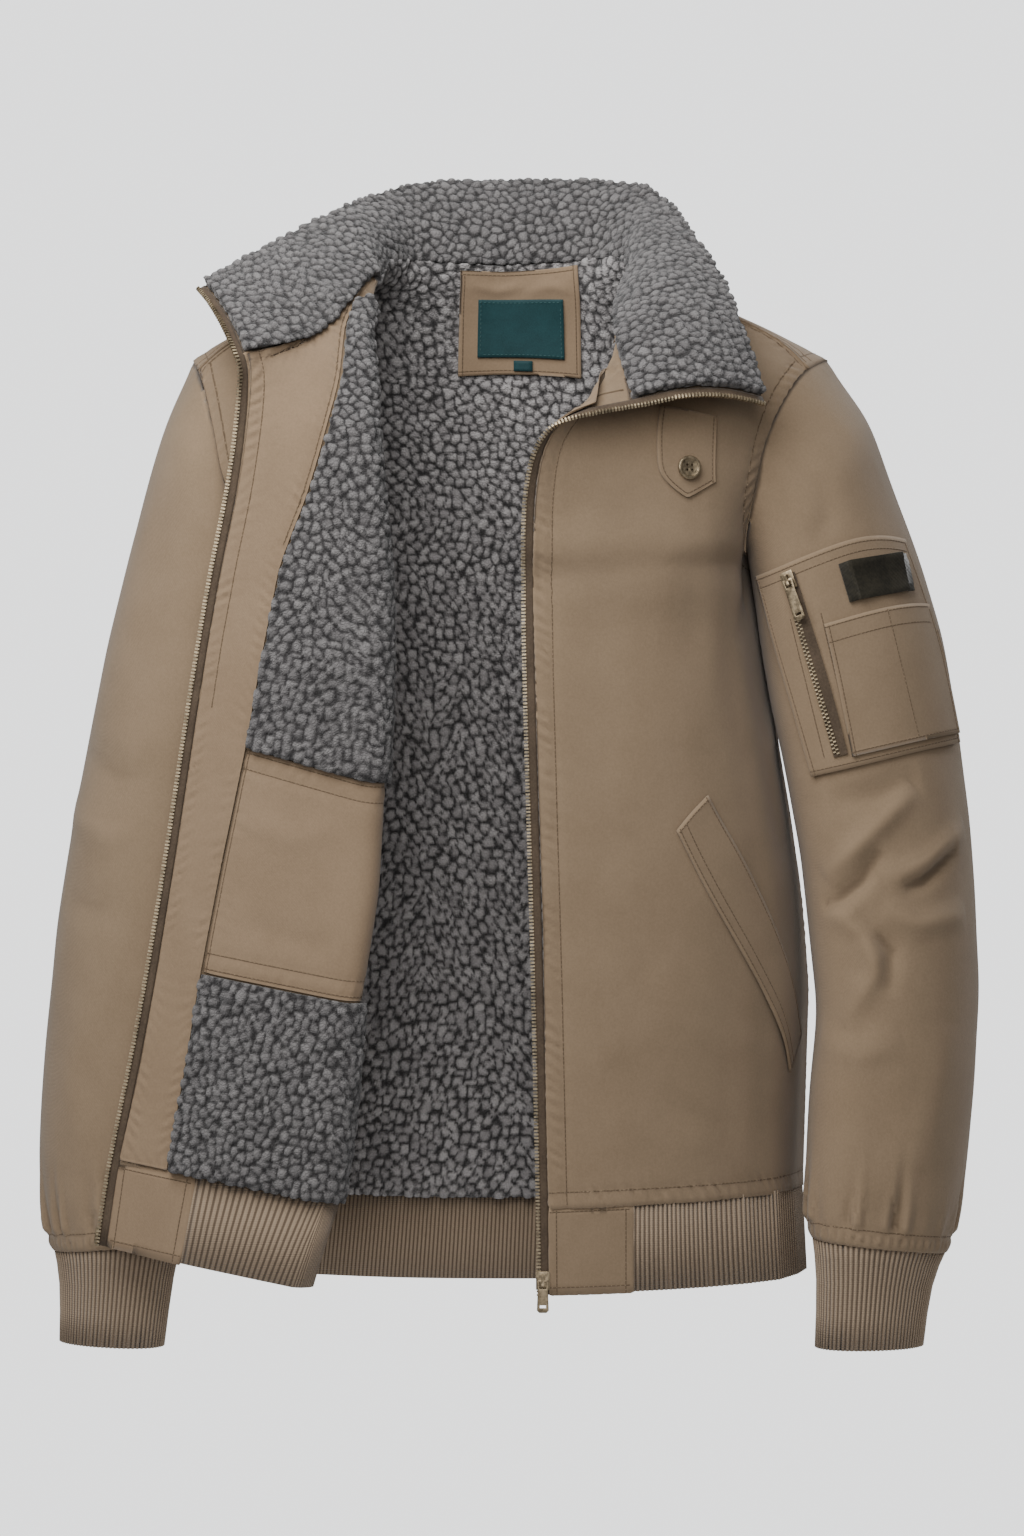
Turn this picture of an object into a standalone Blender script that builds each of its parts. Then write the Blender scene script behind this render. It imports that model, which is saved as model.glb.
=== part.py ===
"""Sherpa lined jacket in its worn, hollow form.

The wearer's left is +X, the back is +Y and up is +Z. The origin is at the middle of the
neck opening, level with the back neck seam. The left front hangs closed along its zip edge,
with its top corner turned out. The right front is folded open over the right sleeve.
Every panel is a ply on a sheet: a grid of points lofted through sections, whose points are
the outer face of the shell cloth, with a normal that points out of the garment.
Lengths in the tables are millimetres.
"""
import math

import bmesh
import bpy
from mathutils import Matrix, Vector

MM = 0.001

# plies, measured inward from the outer face of the shell
CLOTH = 1.6
PLY_GAP = 0.7
SEAM_GAP = 0.3
SHERPA = 4.7
FACING = 1.5
RIB_KNIT = 2.6
RIB_DEPTH = 0.9
RIB_PITCH = 2.9
TRIM_LIFT = 0.6
LINING_TOP = CLOTH + PLY_GAP

# girth of the body: a rounded ellipse at each level
ROUNDNESS = 2.4
BODY_SIDE_Y = 8.0
BODY = (
    # name, side_z, left_half, right_half, front_depth, back_depth, back_z, front_z
    ("band_end", -690.0, 196.0, 196.0, 121.0, 100.0, -706.0, -695.0),
    ("hem_seam", -630.0, 193.0, 192.0, 124.0, 99.0, -648.0, -636.0),
    ("low", -565.0, 195.0, 191.0, 125.0, 100.0, -580.0, -572.0),
    ("pocket_end", -498.0, 197.0, 190.0, 126.0, 101.0, -508.0, -503.0),
    ("waist", -425.0, 191.0, 187.0, 126.0, 101.0, -432.0, -430.0),
    ("pocket_top", -355.0, 180.0, 180.0, 125.0, 101.0, -360.0, -360.0),
    ("chest", -280.0, 168.0, 173.0, 121.0, 100.0, -283.0, -288.0),
    ("underarm", -210.0, 157.0, 168.0, 114.0, 98.0, -215.0, -222.0),
)
CORNER_TURN = 30.0
SEAM_EASE = 1.2
OUTER_TURN = 55.0
BLADE_TURN = 40.0
NAPE_TURN = 66.0

# armholes, from the underarm round the front to the shoulder seam, then over and down the back
ARMHOLE_LEFT_FRONT = (
    # x, y, z
    (151, -40, -201),
    (154, -62, -178),
    (158, -66, -155),
    (164, -62, -130),
    (176, -50, -102),
    (185, -40, -88),
    (194, -28, -78),
)
ARMHOLE_LEFT_BACK = (
    # x, y, z
    (156, 36, -199),
    (164, 58, -172),
    (176, 62, -140),
    (190, 52, -108),
    (204, 32, -82),
    (210, 0, -70),
    (194, -28, -78),
)
ARMHOLE_RIGHT_FRONT = (
    # x, y, z
    (-180, -56, -190),
    (-198, -60, -158),
    (-206, -52, -122),
    (-212, -42, -96),
    (-217, -28, -80),
)
ARMHOLE_RIGHT_BACK = (
    # x, y, z
    (-170, 36, -200),
    (-178, 58, -172),
    (-190, 62, -140),
    (-203, 52, -108),
    (-216, 32, -82),
    (-222, 0, -70),
    (-217, -28, -80),
)
FRONT_LEFT_STEPS = (1, 2, 2, 2, 2, 1, 1)
FRONT_RIGHT_STEPS = (2, 2, 3, 2, 2)
BACK_STEPS = (1, 2, 2, 2, 2, 2, 2)

# shoulder seams, from the armhole to the neck
SHOULDER_LEFT = (
    # x, y, z
    (194, -28, -78),
    (181, -26, -63),
    (165, -24, -53),
    (143, -21, -43.5),
    (110, -9, -26),
    (79, 5, -9),
)
SHOULDER_RIGHT = (
    # x, y, z
    (-217, -28, -80),
    (-204, -26, -66),
    (-186, -24, -56),
    (-163, -21, -46),
    (-131, -12, -30),
    (-101, -2, -14),
)

# neck seam and free edge of the collar above it
COLLAR_RIGHT = (
    # neck x, y, z, edge x, y, z
    (-101, -9, -17, -125, 43, 30),
    (-108, -24, -27, -137, 28, 22.5),
    (-121, -45, -43, -155, 6, 10),
    (-134, -62, -54, -170, -11, 0),
    (-146, -76, -64, -183, -25, -8),
    (-159, -86, -69, -194, -35, -16),
    (-172, -94, -73, -203, -43, -22),
    (-183, -100, -75.5, -211, -50, -27.5),
)
COLLAR_BACK = (
    # neck x, y, z, edge x, y, z
    (-101, -2, -14, -121, 49, 32.5),
    (-98, 20, -5, -109, 63, 40),
    (-93, 42, -3, -96, 80, 46),
    (-80, 60, -1, -80, 94, 53),
    (-45, 74, 0, -45, 108, 58),
    (0, 78, 0, 0, 112, 58.5),
    (45, 72, 0, 45, 111, 58.5),
    (70, 58, 0, 72, 103, 55.5),
    (80, 35, -1, 92, 84, 50),
    (79, 5, -9, 105, 58, 34),
)
COLLAR_LEFT = (
    # neck x, y, z, edge x, y, z
    (79, 5, -9, 105, 58, 34),
    (76, -10, -18, 113, 34, 18),
    (71, -35, -34, 123, 5, -1),
    (67, -55, -49, 132, -18, -17),
    (65, -75, -64, 139, -44, -36),
    (68.5, -100, -89, 149, -76, -70),
    (73.5, -116, -108.5, 159, -92, -104),
)
COLLAR_CROWN = 5.0
COLLAR_CROWN_LEFT = 11.0
COLLAR_ROWS = 4
COLLAR_CROWN_FROM = 9
COLLAR_CROWN_OVER = 5

# left front above the underarm: stations between the armhole and the zip edge
LEFT_UPPER = (
    # corner, outer, neckline, lapel, zip edge
    ((147, -62, -201), (125, -89, -202), (80, -108, -205), (45, -118, -207), (9.3, -123, -209)),
    ((148, -72, -179), (124, -91, -179), (81, -106, -180), (45, -118, -182), (9.5, -125, -185)),
    ((150, -75, -155), (124, -91, -153), (82, -103, -150), (45, -117, -154), (12, -129, -158)),
    ((155, -69, -129), (126, -87, -124), (84, -97, -117), (47, -114, -126), (18, -132, -136)),
    ((166, -56, -98), (132, -76, -92), (94, -86, -90), (54, -107, -103), (30, -132, -121)),
    ((174, -44, -83), (138, -56, -70), (92, -62, -64), (61, -91, -80), (50, -127, -113)),
)
LEFT_EDGE_X = (19.5, 19.0, 17.5, 16.0, 14.0, 12.0, 10.0, 9.0)
NECKLINE_X = (74.0, 74.0, 75.0, 76.0, 77.0, 78.0, 79.0, 80.0)
LAPEL_X = 45.0

# back above the underarm: stations between the armhole and the middle of the back
BACK_UPPER = (
    # blade x, y, z, nape x, y, z, middle y, z
    (121, 80, -196, 80, 92, -194, 98, -192),
    (124, 80, -167, 80, 92, -160, 98, -157),
    (128, 78, -129, 80, 90, -119, 97, -113),
    (134, 70, -92, 82, 84, -79, 94, -71),
    (140, 52, -60, 84, 72, -44, 89, -37),
    (142, 22, -36, 84, 54, -16, 83, -14),
)
BACK_SHIFT = -20.0
BACK_MIDDLE_X = -8.0

# right front: the body part up to the fold, then the part turned back over the sleeve
FLAP = (
    # name, fold_x, fold_y, fold_z, radius, edge_x, edge_y, edge_z, sherpa share
    ("band_end", -131.0, -106.0, -690.0, 9.0, -273.0, -90.0, -666.0, 0.67),
    ("hem_seam", -114.0, -108.0, -634.0, 9.0, -265.0, -91.0, -609.0, 0.747),
    ("low", -106.0, -107.0, -572.0, 9.0, -251.0, -92.0, -547.0, 0.755),
    ("pocket_end", -99.5, -105.0, -502.0, 9.0, -238.5, -93.0, -478.0, 0.75),
    ("waist", -88.5, -103.0, -430.0, 9.0, -226.0, -94.0, -400.0, 0.73),
    ("pocket_top", -84.5, -101.0, -359.0, 9.0, -215.0, -95.0, -326.0, 0.68),
    ("chest", -82.0, -98.0, -285.0, 9.0, -205.0, -96.0, -262.0, 0.64),
    ("underarm", -82.5, -94.0, -228.0, 8.5, -196.0, -97.0, -212.0, 0.60),
    ("arm_1", -87.0, -90.0, -178.0, 8.0, -187.0, -97.0, -168.0, 0.45),
    ("arm_2", -92.0, -81.0, -126.0, 7.5, -181.0, -98.0, -123.0, 0.28),
    ("arm_3", -94.0, -64.0, -87.0, 6.5, -180.0, -98.0, -97.0, 0.16),
    ("arm_4", -98.0, -41.0, -52.0, 5.0, -181.0, -99.0, -84.0, 0.10),
)
FLAP_TOP_SHARE = 0.08
FLAP_CROWN = (4.0, 4.0, 5.0, 6.0, 6.0, 6.0, 6.0, 5.0, 4.0, 3.0, 1.0, 0.5)
RIGHT_UPPER = (
    # corner, outer
    ((-166, -74, -190), (-130, -90, -184)),
    ((-180, -72, -152), (-138, -84, -138)),
    ((-188, -62, -112), (-142, -72, -98)),
    ((-196, -48, -84), (-148, -50, -66)),
)
FOLD_STEPS = 4
TURN_DROP = 2.5
SHERPA_COLS = 3
FACING_COLS = 5
FLAP_CORNER_SHARE = 0.94
FLAP_CORNER_RISE = 0.3
FLAP_LEAN = 25.0

# cells along the seams at the top, and the cells that each lining piece covers
SHOULDER_CELLS = 6
NECK_BACK_CELLS = 8
NECK_LEFT_CELLS = 6
LINING_BACK_INSET = 3
FLAP_FIRST_COL = 4
INNER_POCKET_ROWS = (3, 5)
LEFT_FACING_COLS = (8, 12)
LEFT_TAB_COLS = (6, 12)
COLLAR_TRIM = 1.2
LINING_TRIM = 4.0
FACING_DROP = 0.4
LEFT_FACING_DROP = 0.8

# sleeves: rings given by their outer and inner points
SLEEVE_LEFT = (
    # name, outer_x, outer_z, inner_x, inner_z, middle_y, half_depth
    ("crown", 238, -113, 155, -223, -4, 62),
    ("upper", 257, -168, 159, -247, -6, 62),
    ("bicep", 274, -215, 163, -276, -8, 61),
    ("above_pocket", 288, -262, 169, -309, -10, 60),
    ("forearm_top", 299, -325, 179, -356, -13, 59),
    ("over_elbow", 306, -385, 188, -406, -16, 58),
    ("elbow", 310, -450, 193, -456, -20, 57),
    ("under_elbow", 311, -505, 199, -509, -24, 56),
    ("forearm", 308, -560, 194, -560, -28, 55),
    ("wrist", 303, -610, 191, -606, -32, 54),
    ("gather", 296, -648, 191, -638, -36, 50),
    ("seam", 291, -663, 192, -650, -38, 46),
    ("band", 288, -671, 195, -659, -38, 44),
)
SLEEVE_RIGHT = (
    # name, outer_x, outer_z, inner_x, inner_z, middle_y, half_depth
    ("crown", -242, -114, -171, -227, -4, 60),
    ("upper", -255, -162, -174, -251, -5, 60),
    ("bicep", -268, -212, -178, -281, -6, 59),
    ("above_pocket", -280, -262, -183, -313, -7, 58),
    ("forearm_top", -292, -320, -190, -356, -8, 57),
    ("over_elbow", -303, -380, -196, -406, -9, 56),
    ("elbow", -313, -445, -201, -459, -11, 55),
    ("under_elbow", -319, -500, -205, -511, -13, 54),
    ("forearm", -325, -560, -208, -563, -15, 53),
    ("wrist", -327, -612, -210, -609, -17, 52),
    ("gather", -325, -648, -213, -641, -19, 49),
    ("seam", -320, -662, -219, -653, -20, 46),
    ("band", -316, -671, -226, -661, -20, 44),
)
CUFF_LEFT = (
    # name, outer_x, outer_z, inner_x, inner_z, middle_y, half_depth
    ("top", 288, -672, 195, -660, -38, 44),
    ("neck", 277, -694, 199, -688, -38, 38),
    ("end", 272, -737, 197, -736, -38, 37),
)
CUFF_RIGHT = (
    # name, outer_x, outer_z, inner_x, inner_z, middle_y, half_depth
    ("top", -316, -672, -226, -662, -20, 44),
    ("neck", -311, -694, -233, -688, -20, 38),
    ("end", -312, -736, -239, -737, -20, 37),
)
RING_ROUNDNESS = 2.2
RING_SKEW = 18.0
RING_SKEW_OUTER = 0.4
RING_STEPS = 24
CUFF_SAMPLES = 96

# band, tabs and tape
TAB_THICK = 2.0
TAB_RIGHT_TOP = 44.45
TAB_RIGHT_END = 44.7
TAB_CELLS = 4
BAND_END_GAP = 0.02
BAND_SAMPLES = 400
RIB_INNER_EVERY = 6
CUFF_RIBS = 78
TAPE_START = 0.4
TAPE_WIDTH = 6.0
TAPE_THICK = 1.0
TAPE_DEPTH = 1.4

# what lies on the panels: corners as sheet row and column, from the top inside corner;
# what lies on the sleeve panel: as shares across and down the panel
WELT_LEFT = ((4.85, 3.67), (4.53, 4.72), (2.20, 1.55), (2.55, 0.99))
WELT_RIGHT = ((4.85, 3.2), (4.53, 4.1), (2.20, 1.55), (2.55, 0.99))
PANEL_ROWS = 5
PANEL_COLS = 8
PANEL_THICK = 1.2
POCKET_THICK = 1.4
STACK_LIFT = 0.5
SLEEVE_TAPE_THICK = 0.8
SLEEVE_SLIDER_LIFT = 0.6
BADGE_THICK = 1.0
BADGE_RIM = 0.8
NECK_PATCH_THICK = 1.2
LABEL_THICK = 0.8
LABEL_LIFT = 0.8
NECK_FIRST_COL = 5
SLEEVE_PANEL = ((1.10, 1.75), (2.48, 9.84), (5.09, 10.3), (5.05, 2.98))
SLEEVE_POCKET = ((0.351, 0.398), (0.98, 0.372), (0.98, 0.962), (0.275, 0.965))
SLEEVE_BADGE = ((0.523, 0.110), (0.922, 0.099), (0.876, 0.310), (0.503, 0.322))
SLEEVE_TAPE = ((0.219, 0.095), (0.305, 0.065), (0.260, 0.950), (0.178, 0.952))
SLEEVE_SLIDER = (0.260, 0.103)
NECK_TRIM = {
    # name: top row, bottom row, right x, left x, cells across, cells down
    "neck_patch": (19.5, 13.85, -43.6, 44.0, 5, 6),
    "neck_label": (17.33, 14.55, -30.0, 32.3, 4, 3),
    "neck_tag": (14.40, 13.98, -4.0, 9.3, 1, 1),
}
BADGE_FRAME = (0.0, 0.10, 0.13, 0.87, 0.90, 1.0)
BADGE_EDGE = (0.0, 0.14, 0.18, 0.82, 0.86, 1.0)
BUTTON_TAB = (
    # row, inner column, outer column
    (14.55, 5.74, 3.80),
    (13.55, 5.69, 3.72),
    (12.45, 5.63, 3.66),
    (11.50, 5.57, 3.61),
    (10.65, 4.75, 4.60),
)
BUTTON_AT = (2.42, 1.45)
BUTTON_LIFT = 0.5
BUTTON_HOLE = 0.9
BUTTON_HOLE_OUT = 1.7
BUTTON_HOLE_DEPTH = 8.0
BUTTON_TURNS = 20
BUTTON_PROFILE = (
    # radius, rise
    (0.0, 0.0),
    (7.4, 0.0),
    (8.0, 0.7),
    (8.0, 1.9),
    (7.3, 2.6),
    (6.1, 2.6),
    (5.5, 1.6),
    (0.0, 1.6),
)

# sliders and pulls
SLIDER_WIDTH = 9.0
SLIDER_LENGTH = 12.0
SLIDER_PLATE = 1.3
SLIDER_SLOT = 2.4
SLIDER_CORE = 2.0
SLIDER_CORE_SHORTER = 1.0
SLIDER_GAP = 0.6
SLIDER_UP_SHARE = 0.16
BRIDGE_WIDTH = 2.0
BRIDGE_LENGTH = 7.6
BRIDGE_LEG = 1.2
BRIDGE_RISE = 3.9
BRIDGE_BAR = 0.98
BRIDGE_SINK = 0.4
PULL_AXIS_RISE = 1.9
PULL_WIDTH = 7.9
PULL_THICK = 1.2
PULL_BAR = 0.7
PULL_WINDOW = 5.2
PULL_WINDOW_WIDTH = 4.4
PULL_LENGTH = 21.0
SLEEVE_PULL_LENGTH = 28.0
PULL_CORNER = 1.6
PULL_SHOULDER = 0.8
PULL_WAIST = 0.5
PULL_SLOT = 2.0
PULL_SLOT_FAR = 3.2
PULL_SLOT_NEAR = 5.0
PIN_WIDTH = 2.4
PIN_LENGTH = 11.0
PIN_OUT = 1.7
PIN_UP = 6.0

BRASS = ("old_brass", (0.33, 0.28, 0.20), 0.35, 1.0)
TAPE_TAN = ("zip_tape", (0.20, 0.14, 0.09), 0.8, 0.0)
LABEL_TEAL = ("label", (0.018, 0.060, 0.066), 0.55, 0.0)
BADGE_DARK = ("badge", (0.020, 0.022, 0.018), 0.6, 0.0)
TWILL = ("twill", (0.235, 0.165, 0.108), 0.85, 0.0)
TWILL_INSIDE = ("facing_twill", (0.265, 0.190, 0.125), 0.85, 0.0)
SHERPA_GREY = ("sherpa", (0.150, 0.140, 0.138), 1.0, 0.0)
RIB_TAN = ("rib_knit", (0.270, 0.195, 0.135), 0.9, 0.0)


def vec(point):
    """Table row as a vector."""
    return Vector((float(point[0]), float(point[1]), float(point[2])))


def spline(points):
    """Smooth curve through points: a function of a running point number."""
    last = len(points) - 1
    chords = [max((points[i + 1] - points[i]).length, 1e-6) for i in range(last)]
    slopes = []
    for i in range(last + 1):
        if i == 0:
            slopes.append((points[1] - points[0]) / chords[0])
        elif i == last:
            slopes.append((points[last] - points[last - 1]) / chords[last - 1])
        else:
            before = (points[i] - points[i - 1]) / chords[i - 1]
            after = (points[i + 1] - points[i]) / chords[i]
            weight = chords[i] / (chords[i - 1] + chords[i])
            slopes.append(before * weight + after * (1 - weight))

    def at(u):
        i = max(0, min(int(u), last - 1))
        t = u - i
        h = chords[i]
        a = points[i] * (2 * t ** 3 - 3 * t ** 2 + 1)
        b = slopes[i] * (h * (t ** 3 - 2 * t ** 2 + t))
        c = points[i + 1] * (-2 * t ** 3 + 3 * t ** 2)
        d = slopes[i + 1] * (h * (t ** 3 - t ** 2))
        return a + b + c + d

    return at


def chained(points):
    """Straight runs between points: a function of a running point number."""
    last = len(points) - 1

    def at(u):
        i = max(0, min(int(u), last - 1))
        return points[i].lerp(points[i + 1], u - i)

    return at


def smooth(points, steps):
    """Samples of the curve through points, with steps[i] of them in span i."""
    at = spline(points)
    found = [points[0].copy()]
    for i, count in enumerate(steps):
        for k in range(count):
            found.append(at(i + (k + 1) / count))
    return found


def numbers_at(points, shares):
    """Running point numbers at the given shares of the curve's length."""
    at = spline(points)
    fine = 24 * (len(points) - 1)
    marks = [at(i / 24) for i in range(fine + 1)]
    lengths = [0.0]
    for a, b in zip(marks, marks[1:]):
        lengths.append(lengths[-1] + (b - a).length)
    found = []
    for share in shares:
        target = share * lengths[-1]
        i = 0
        while i < fine - 1 and lengths[i + 1] < target:
            i += 1
        span = lengths[i + 1] - lengths[i]
        found.append((i + (target - lengths[i]) / span) / 24)
    return found


def even(points, count):
    """Evenly spaced samples along the curve through points."""
    at = spline(points)
    return [at(u) for u in numbers_at(points, [i / count for i in range(count + 1)])]


def lofted(rows, steps):
    """Grid whose columns run smoothly through the section rows."""
    columns = []
    for c in range(len(rows[0])):
        columns.append(smooth([row[c] for row in rows], steps))
    return [[column[r] for column in columns] for r in range(len(columns[0]))]


def normals_of(grid, closed, row, col, direction):
    """Unit normals of a grid, on the side that direction names at one point."""
    rows = len(grid)
    cols = len(grid[0])
    found = []
    for r in range(rows):
        line = []
        for c in range(cols):
            up = grid[min(r + 1, rows - 1)][c] - grid[max(r - 1, 0)][c]
            if closed:
                over = grid[r][(c + 1) % cols] - grid[r][(c - 1) % cols]
            else:
                over = grid[r][min(c + 1, cols - 1)] - grid[r][max(c - 1, 0)]
            line.append(over.cross(up).normalized())
        found.append(line)
    if found[row][col].dot(Vector(direction)) < 0:
        found = [[-n for n in line] for line in found]
    return found


def share_normals(*borders):
    """Make panels meet square at a seam by giving both sides the mean normal."""
    for together in zip(*borders):
        mean = Vector((0, 0, 0))
        for normals, r, c in together:
            mean = mean + normals[r][c]
        mean.normalize()
        for normals, r, c in together:
            normals[r][c] = mean


def material_of(look):
    """Principled material of a named look."""
    name, colour, rough, metal = look
    found = bpy.data.materials.get(name)
    if found is None:
        found = bpy.data.materials.new(name)
        found.use_nodes = True
        shader = found.node_tree.nodes["Principled BSDF"]
        shader.inputs["Base Color"].default_value = (*colour, 1.0)
        shader.inputs["Roughness"].default_value = rough
        shader.inputs["Metallic"].default_value = metal
        found.diffuse_color = (*colour, 1.0)
    return found


def add_piece(name, points, faces, look):
    """One named solid with its own material."""
    mesh = bpy.data.meshes.new(name)
    mesh.from_pydata([tuple(p * MM) for p in points], [], faces)
    mesh.validate()
    piece = bpy.data.objects.new(name, mesh)
    piece.data.materials.append(material_of((name + "_" + look[0], *look[1:])))
    bpy.data.collections["jacket"].objects.link(piece)
    for face in mesh.polygons:
        face.use_smooth = True
    return piece


def slab(name, outer, inner, look, closed=False, guide=None):
    """Solid between two grids of points, whose faces are split the way the guide grid is."""
    guide = guide or outer
    tall = len(outer)
    wide = len(outer[0])
    half = tall * wide
    points = [p for line in outer for p in line] + [p for line in inner for p in line]
    spans = wide if closed else wide - 1

    def number(side, r, k):
        return side * half + r * wide + (k % wide)

    faces = []
    for r in range(tall - 1):
        for k in range(spans):
            one = (guide[r][k] - guide[r + 1][(k + 1) % wide]).length
            two = (guide[r][(k + 1) % wide] - guide[r + 1][k]).length
            for side in (0, 1):
                a = number(side, r, k)
                b = number(side, r, k + 1)
                c = number(side, r + 1, k + 1)
                d = number(side, r + 1, k)
                pair = [(a, b, c), (a, c, d)] if one <= two + 0.01 else [(a, b, d), (b, c, d)]
                if side == 1:
                    pair = [tuple(reversed(face)) for face in pair]
                faces.extend(pair)
    border = []
    for k in range(spans):
        border.append(((0, k + 1), (0, k)))
        border.append(((tall - 1, k), (tall - 1, k + 1)))
    if not closed:
        for r in range(tall - 1):
            border.append(((r, 0), (r + 1, 0)))
            border.append(((r + 1, wide - 1), (r, wide - 1)))
    for (r, k), (q, m) in border:
        a = number(0, r, k)
        b = number(0, q, m)
        c = number(1, q, m)
        d = number(1, r, k)
        if (points[a] - points[c]).length <= (points[b] - points[d]).length:
            faces.extend([(a, b, c), (a, c, d)])
        else:
            faces.extend([(a, b, d), (b, c, d)])
    return add_solid(name, points, faces, look)


def ply(name, grid, normals, inner, outer, look, rows=None, cols=None, closed=False, trim=0.5):
    """Wall between two depths below the sheet, over a range of its rows and columns."""
    r0, r1 = rows or (0, len(grid) - 1)
    c0, c1 = cols or (0, len(grid[0]) - 1)
    inset = trim * SEAM_GAP
    faces = []
    for depth in (outer, inner):
        lines = []
        for r in range(r0, r1 + 1):
            line = []
            for c in range(c0, c1 + 1):
                base = grid[r][c] - normals[r][c] * depth
                if r == r0:
                    base = base + (grid[r + 1][c] - grid[r][c]).normalized() * inset
                if r == r1:
                    base = base + (grid[r - 1][c] - grid[r][c]).normalized() * inset
                if not closed and c == c0:
                    base = base + (grid[r][c + 1] - grid[r][c]).normalized() * inset
                if not closed and c == c1:
                    base = base + (grid[r][c - 1] - grid[r][c]).normalized() * inset
                line.append(base)
            lines.append(line)
        faces.append(lines)
    guide = [line[c0:c1 + 1] for line in grid[r0:r1 + 1]]
    return slab(name, faces[0], faces[1], look, closed, guide)


def add_solid(name, points, faces, look):
    """Solid whose faces are turned to point out."""
    volume = 0.0
    for face in faces:
        for i in range(1, len(face) - 1):
            volume += points[face[0]].dot(points[face[i]].cross(points[face[i + 1]]))
    if volume < 0:
        faces = [tuple(reversed(face)) for face in faces]
    return add_piece(name, points, faces, look)


def on_sheet(grid, normals, r, c, lift):
    """Point at a fractional row and column of a sheet, lifted off its outer face."""
    count = len(grid[0])
    i = max(0, min(int(r), len(grid) - 2))
    k = int(c)
    t = r - i
    u = c - k
    a = (i, k % count)
    b = (i, (k + 1) % count)
    d = (i + 1, k % count)
    e = (i + 1, (k + 1) % count)
    one = (grid[a[0]][a[1]] - grid[e[0]][e[1]]).length
    two = (grid[b[0]][b[1]] - grid[d[0]][d[1]]).length
    if one <= two + 0.01:
        if u >= t:
            weights = ((a, 1 - u), (b, u - t), (e, t))
        else:
            weights = ((a, 1 - t), (d, t - u), (e, u))
    elif u + t <= 1:
        weights = ((a, 1 - u - t), (b, u), (d, t))
    else:
        weights = ((e, u + t - 1), (b, 1 - t), (d, 1 - u))
    point = Vector((0, 0, 0))
    normal = Vector((0, 0, 0))
    for (row, col), weight in weights:
        point = point + grid[row][col] * weight
        normal = normal + normals[row][col] * weight
    return point + normal.normalized() * lift, normal.normalized()


def split_points(corners, u, v):
    """Where a cell lies at the shares u and v, for either way of splitting it in two."""
    a, b, c, d = corners
    if u >= v:
        one = a + (b - a) * u + (c - b) * v
    else:
        one = a + (d - a) * v + (c - d) * u
    if u + v <= 1:
        two = a + (b - a) * u + (d - a) * v
    else:
        two = c + (d - c) * (1 - u) + (b - c) * (1 - v)
    return one, two


def settled(sheet, places, lift):
    """Lifts at which the straight cells between the places clear the sheet."""
    grid, normals = sheet
    side = 1.0 if lift > 0 else -1.0
    rises = [[lift] * len(line) for line in places]
    shares = (0.0, 0.2, 0.4, 0.6, 0.8, 1.0)
    for i in range(len(places) - 1):
        for k in range(len(places[0]) - 1):
            cell = ((i, k), (i, k + 1), (i + 1, k + 1), (i + 1, k))
            spots = [places[m][n] for m, n in cell]
            corners = [on_sheet(grid, normals, r, c, 0.0)[0] for r, c in spots]
            need = 0.0
            for v in shares:
                for u in shares:
                    r, c = [
                        (spots[0][n] * (1 - u) + spots[1][n] * u) * (1 - v)
                        + (spots[3][n] * (1 - u) + spots[2][n] * u) * v for n in (0, 1)
                    ]
                    point, normal = on_sheet(grid, normals, r, c, 0.0)
                    for low in split_points(corners, u, v):
                        need = max(need, (point - low).dot(normal) * side)
            for m, n in cell:
                rises[m][n] = max(rises[m][n] * side, lift * side + need) * side
    return rises


def places_between(corners, across, along):
    """Rows of places between four corners, each a sheet row and column."""
    places = []
    for v in along:
        line = []
        for u in across:
            near = [corners[0][n] * (1 - u) + corners[1][n] * u for n in (0, 1)]
            far = [corners[3][n] * (1 - u) + corners[2][n] * u for n in (0, 1)]
            line.append((near[0] * (1 - v) + far[0] * v, near[1] * (1 - v) + far[1] * v))
        places.append(line)
    return places


def laid(name, sheet, places, lift, thick, look):
    """Piece that lies on a sheet at rows of places. Gives back its top as a sheet."""
    grid, normals = sheet
    rises = settled(sheet, places, lift)
    low = []
    high = []
    ways = []
    for i, line in enumerate(places):
        under = []
        over = []
        way = []
        for k, (r, c) in enumerate(line):
            extra = thick[i][k] if isinstance(thick, list) else thick
            under.append(on_sheet(grid, normals, r, c, rises[i][k])[0])
            point, normal = on_sheet(grid, normals, r, c, rises[i][k] + extra)
            over.append(point)
            way.append(normal)
        low.append(under)
        high.append(over)
        ways.append(way)
    slab(name, high, low, look)
    return high, ways


def patch(name, sheet, corners, across, along, lift, thick, look):
    """Piece that lies on a sheet between four corners given as sheet row and column."""
    places = places_between(corners, steps(across), steps(along))
    return laid(name, sheet, places, lift, thick, look)


def steps(count):
    """Evenly spaced shares from 0 to 1."""
    return [i / count for i in range(count + 1)]


def superellipse(half, depth, turn):
    """Point of the body's girth at a turn in degrees from its side."""
    power = 2 / ROUNDNESS
    angle = math.radians(turn)
    return half * math.cos(angle) ** power, depth * math.sin(angle) ** power


def depth_at(half, depth, x):
    """Depth of the body's girth at a distance x from the middle."""
    inside = max(0.0, 1 - (abs(x) / half) ** ROUNDNESS)
    return depth * inside ** (1 / ROUNDNESS)


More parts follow.
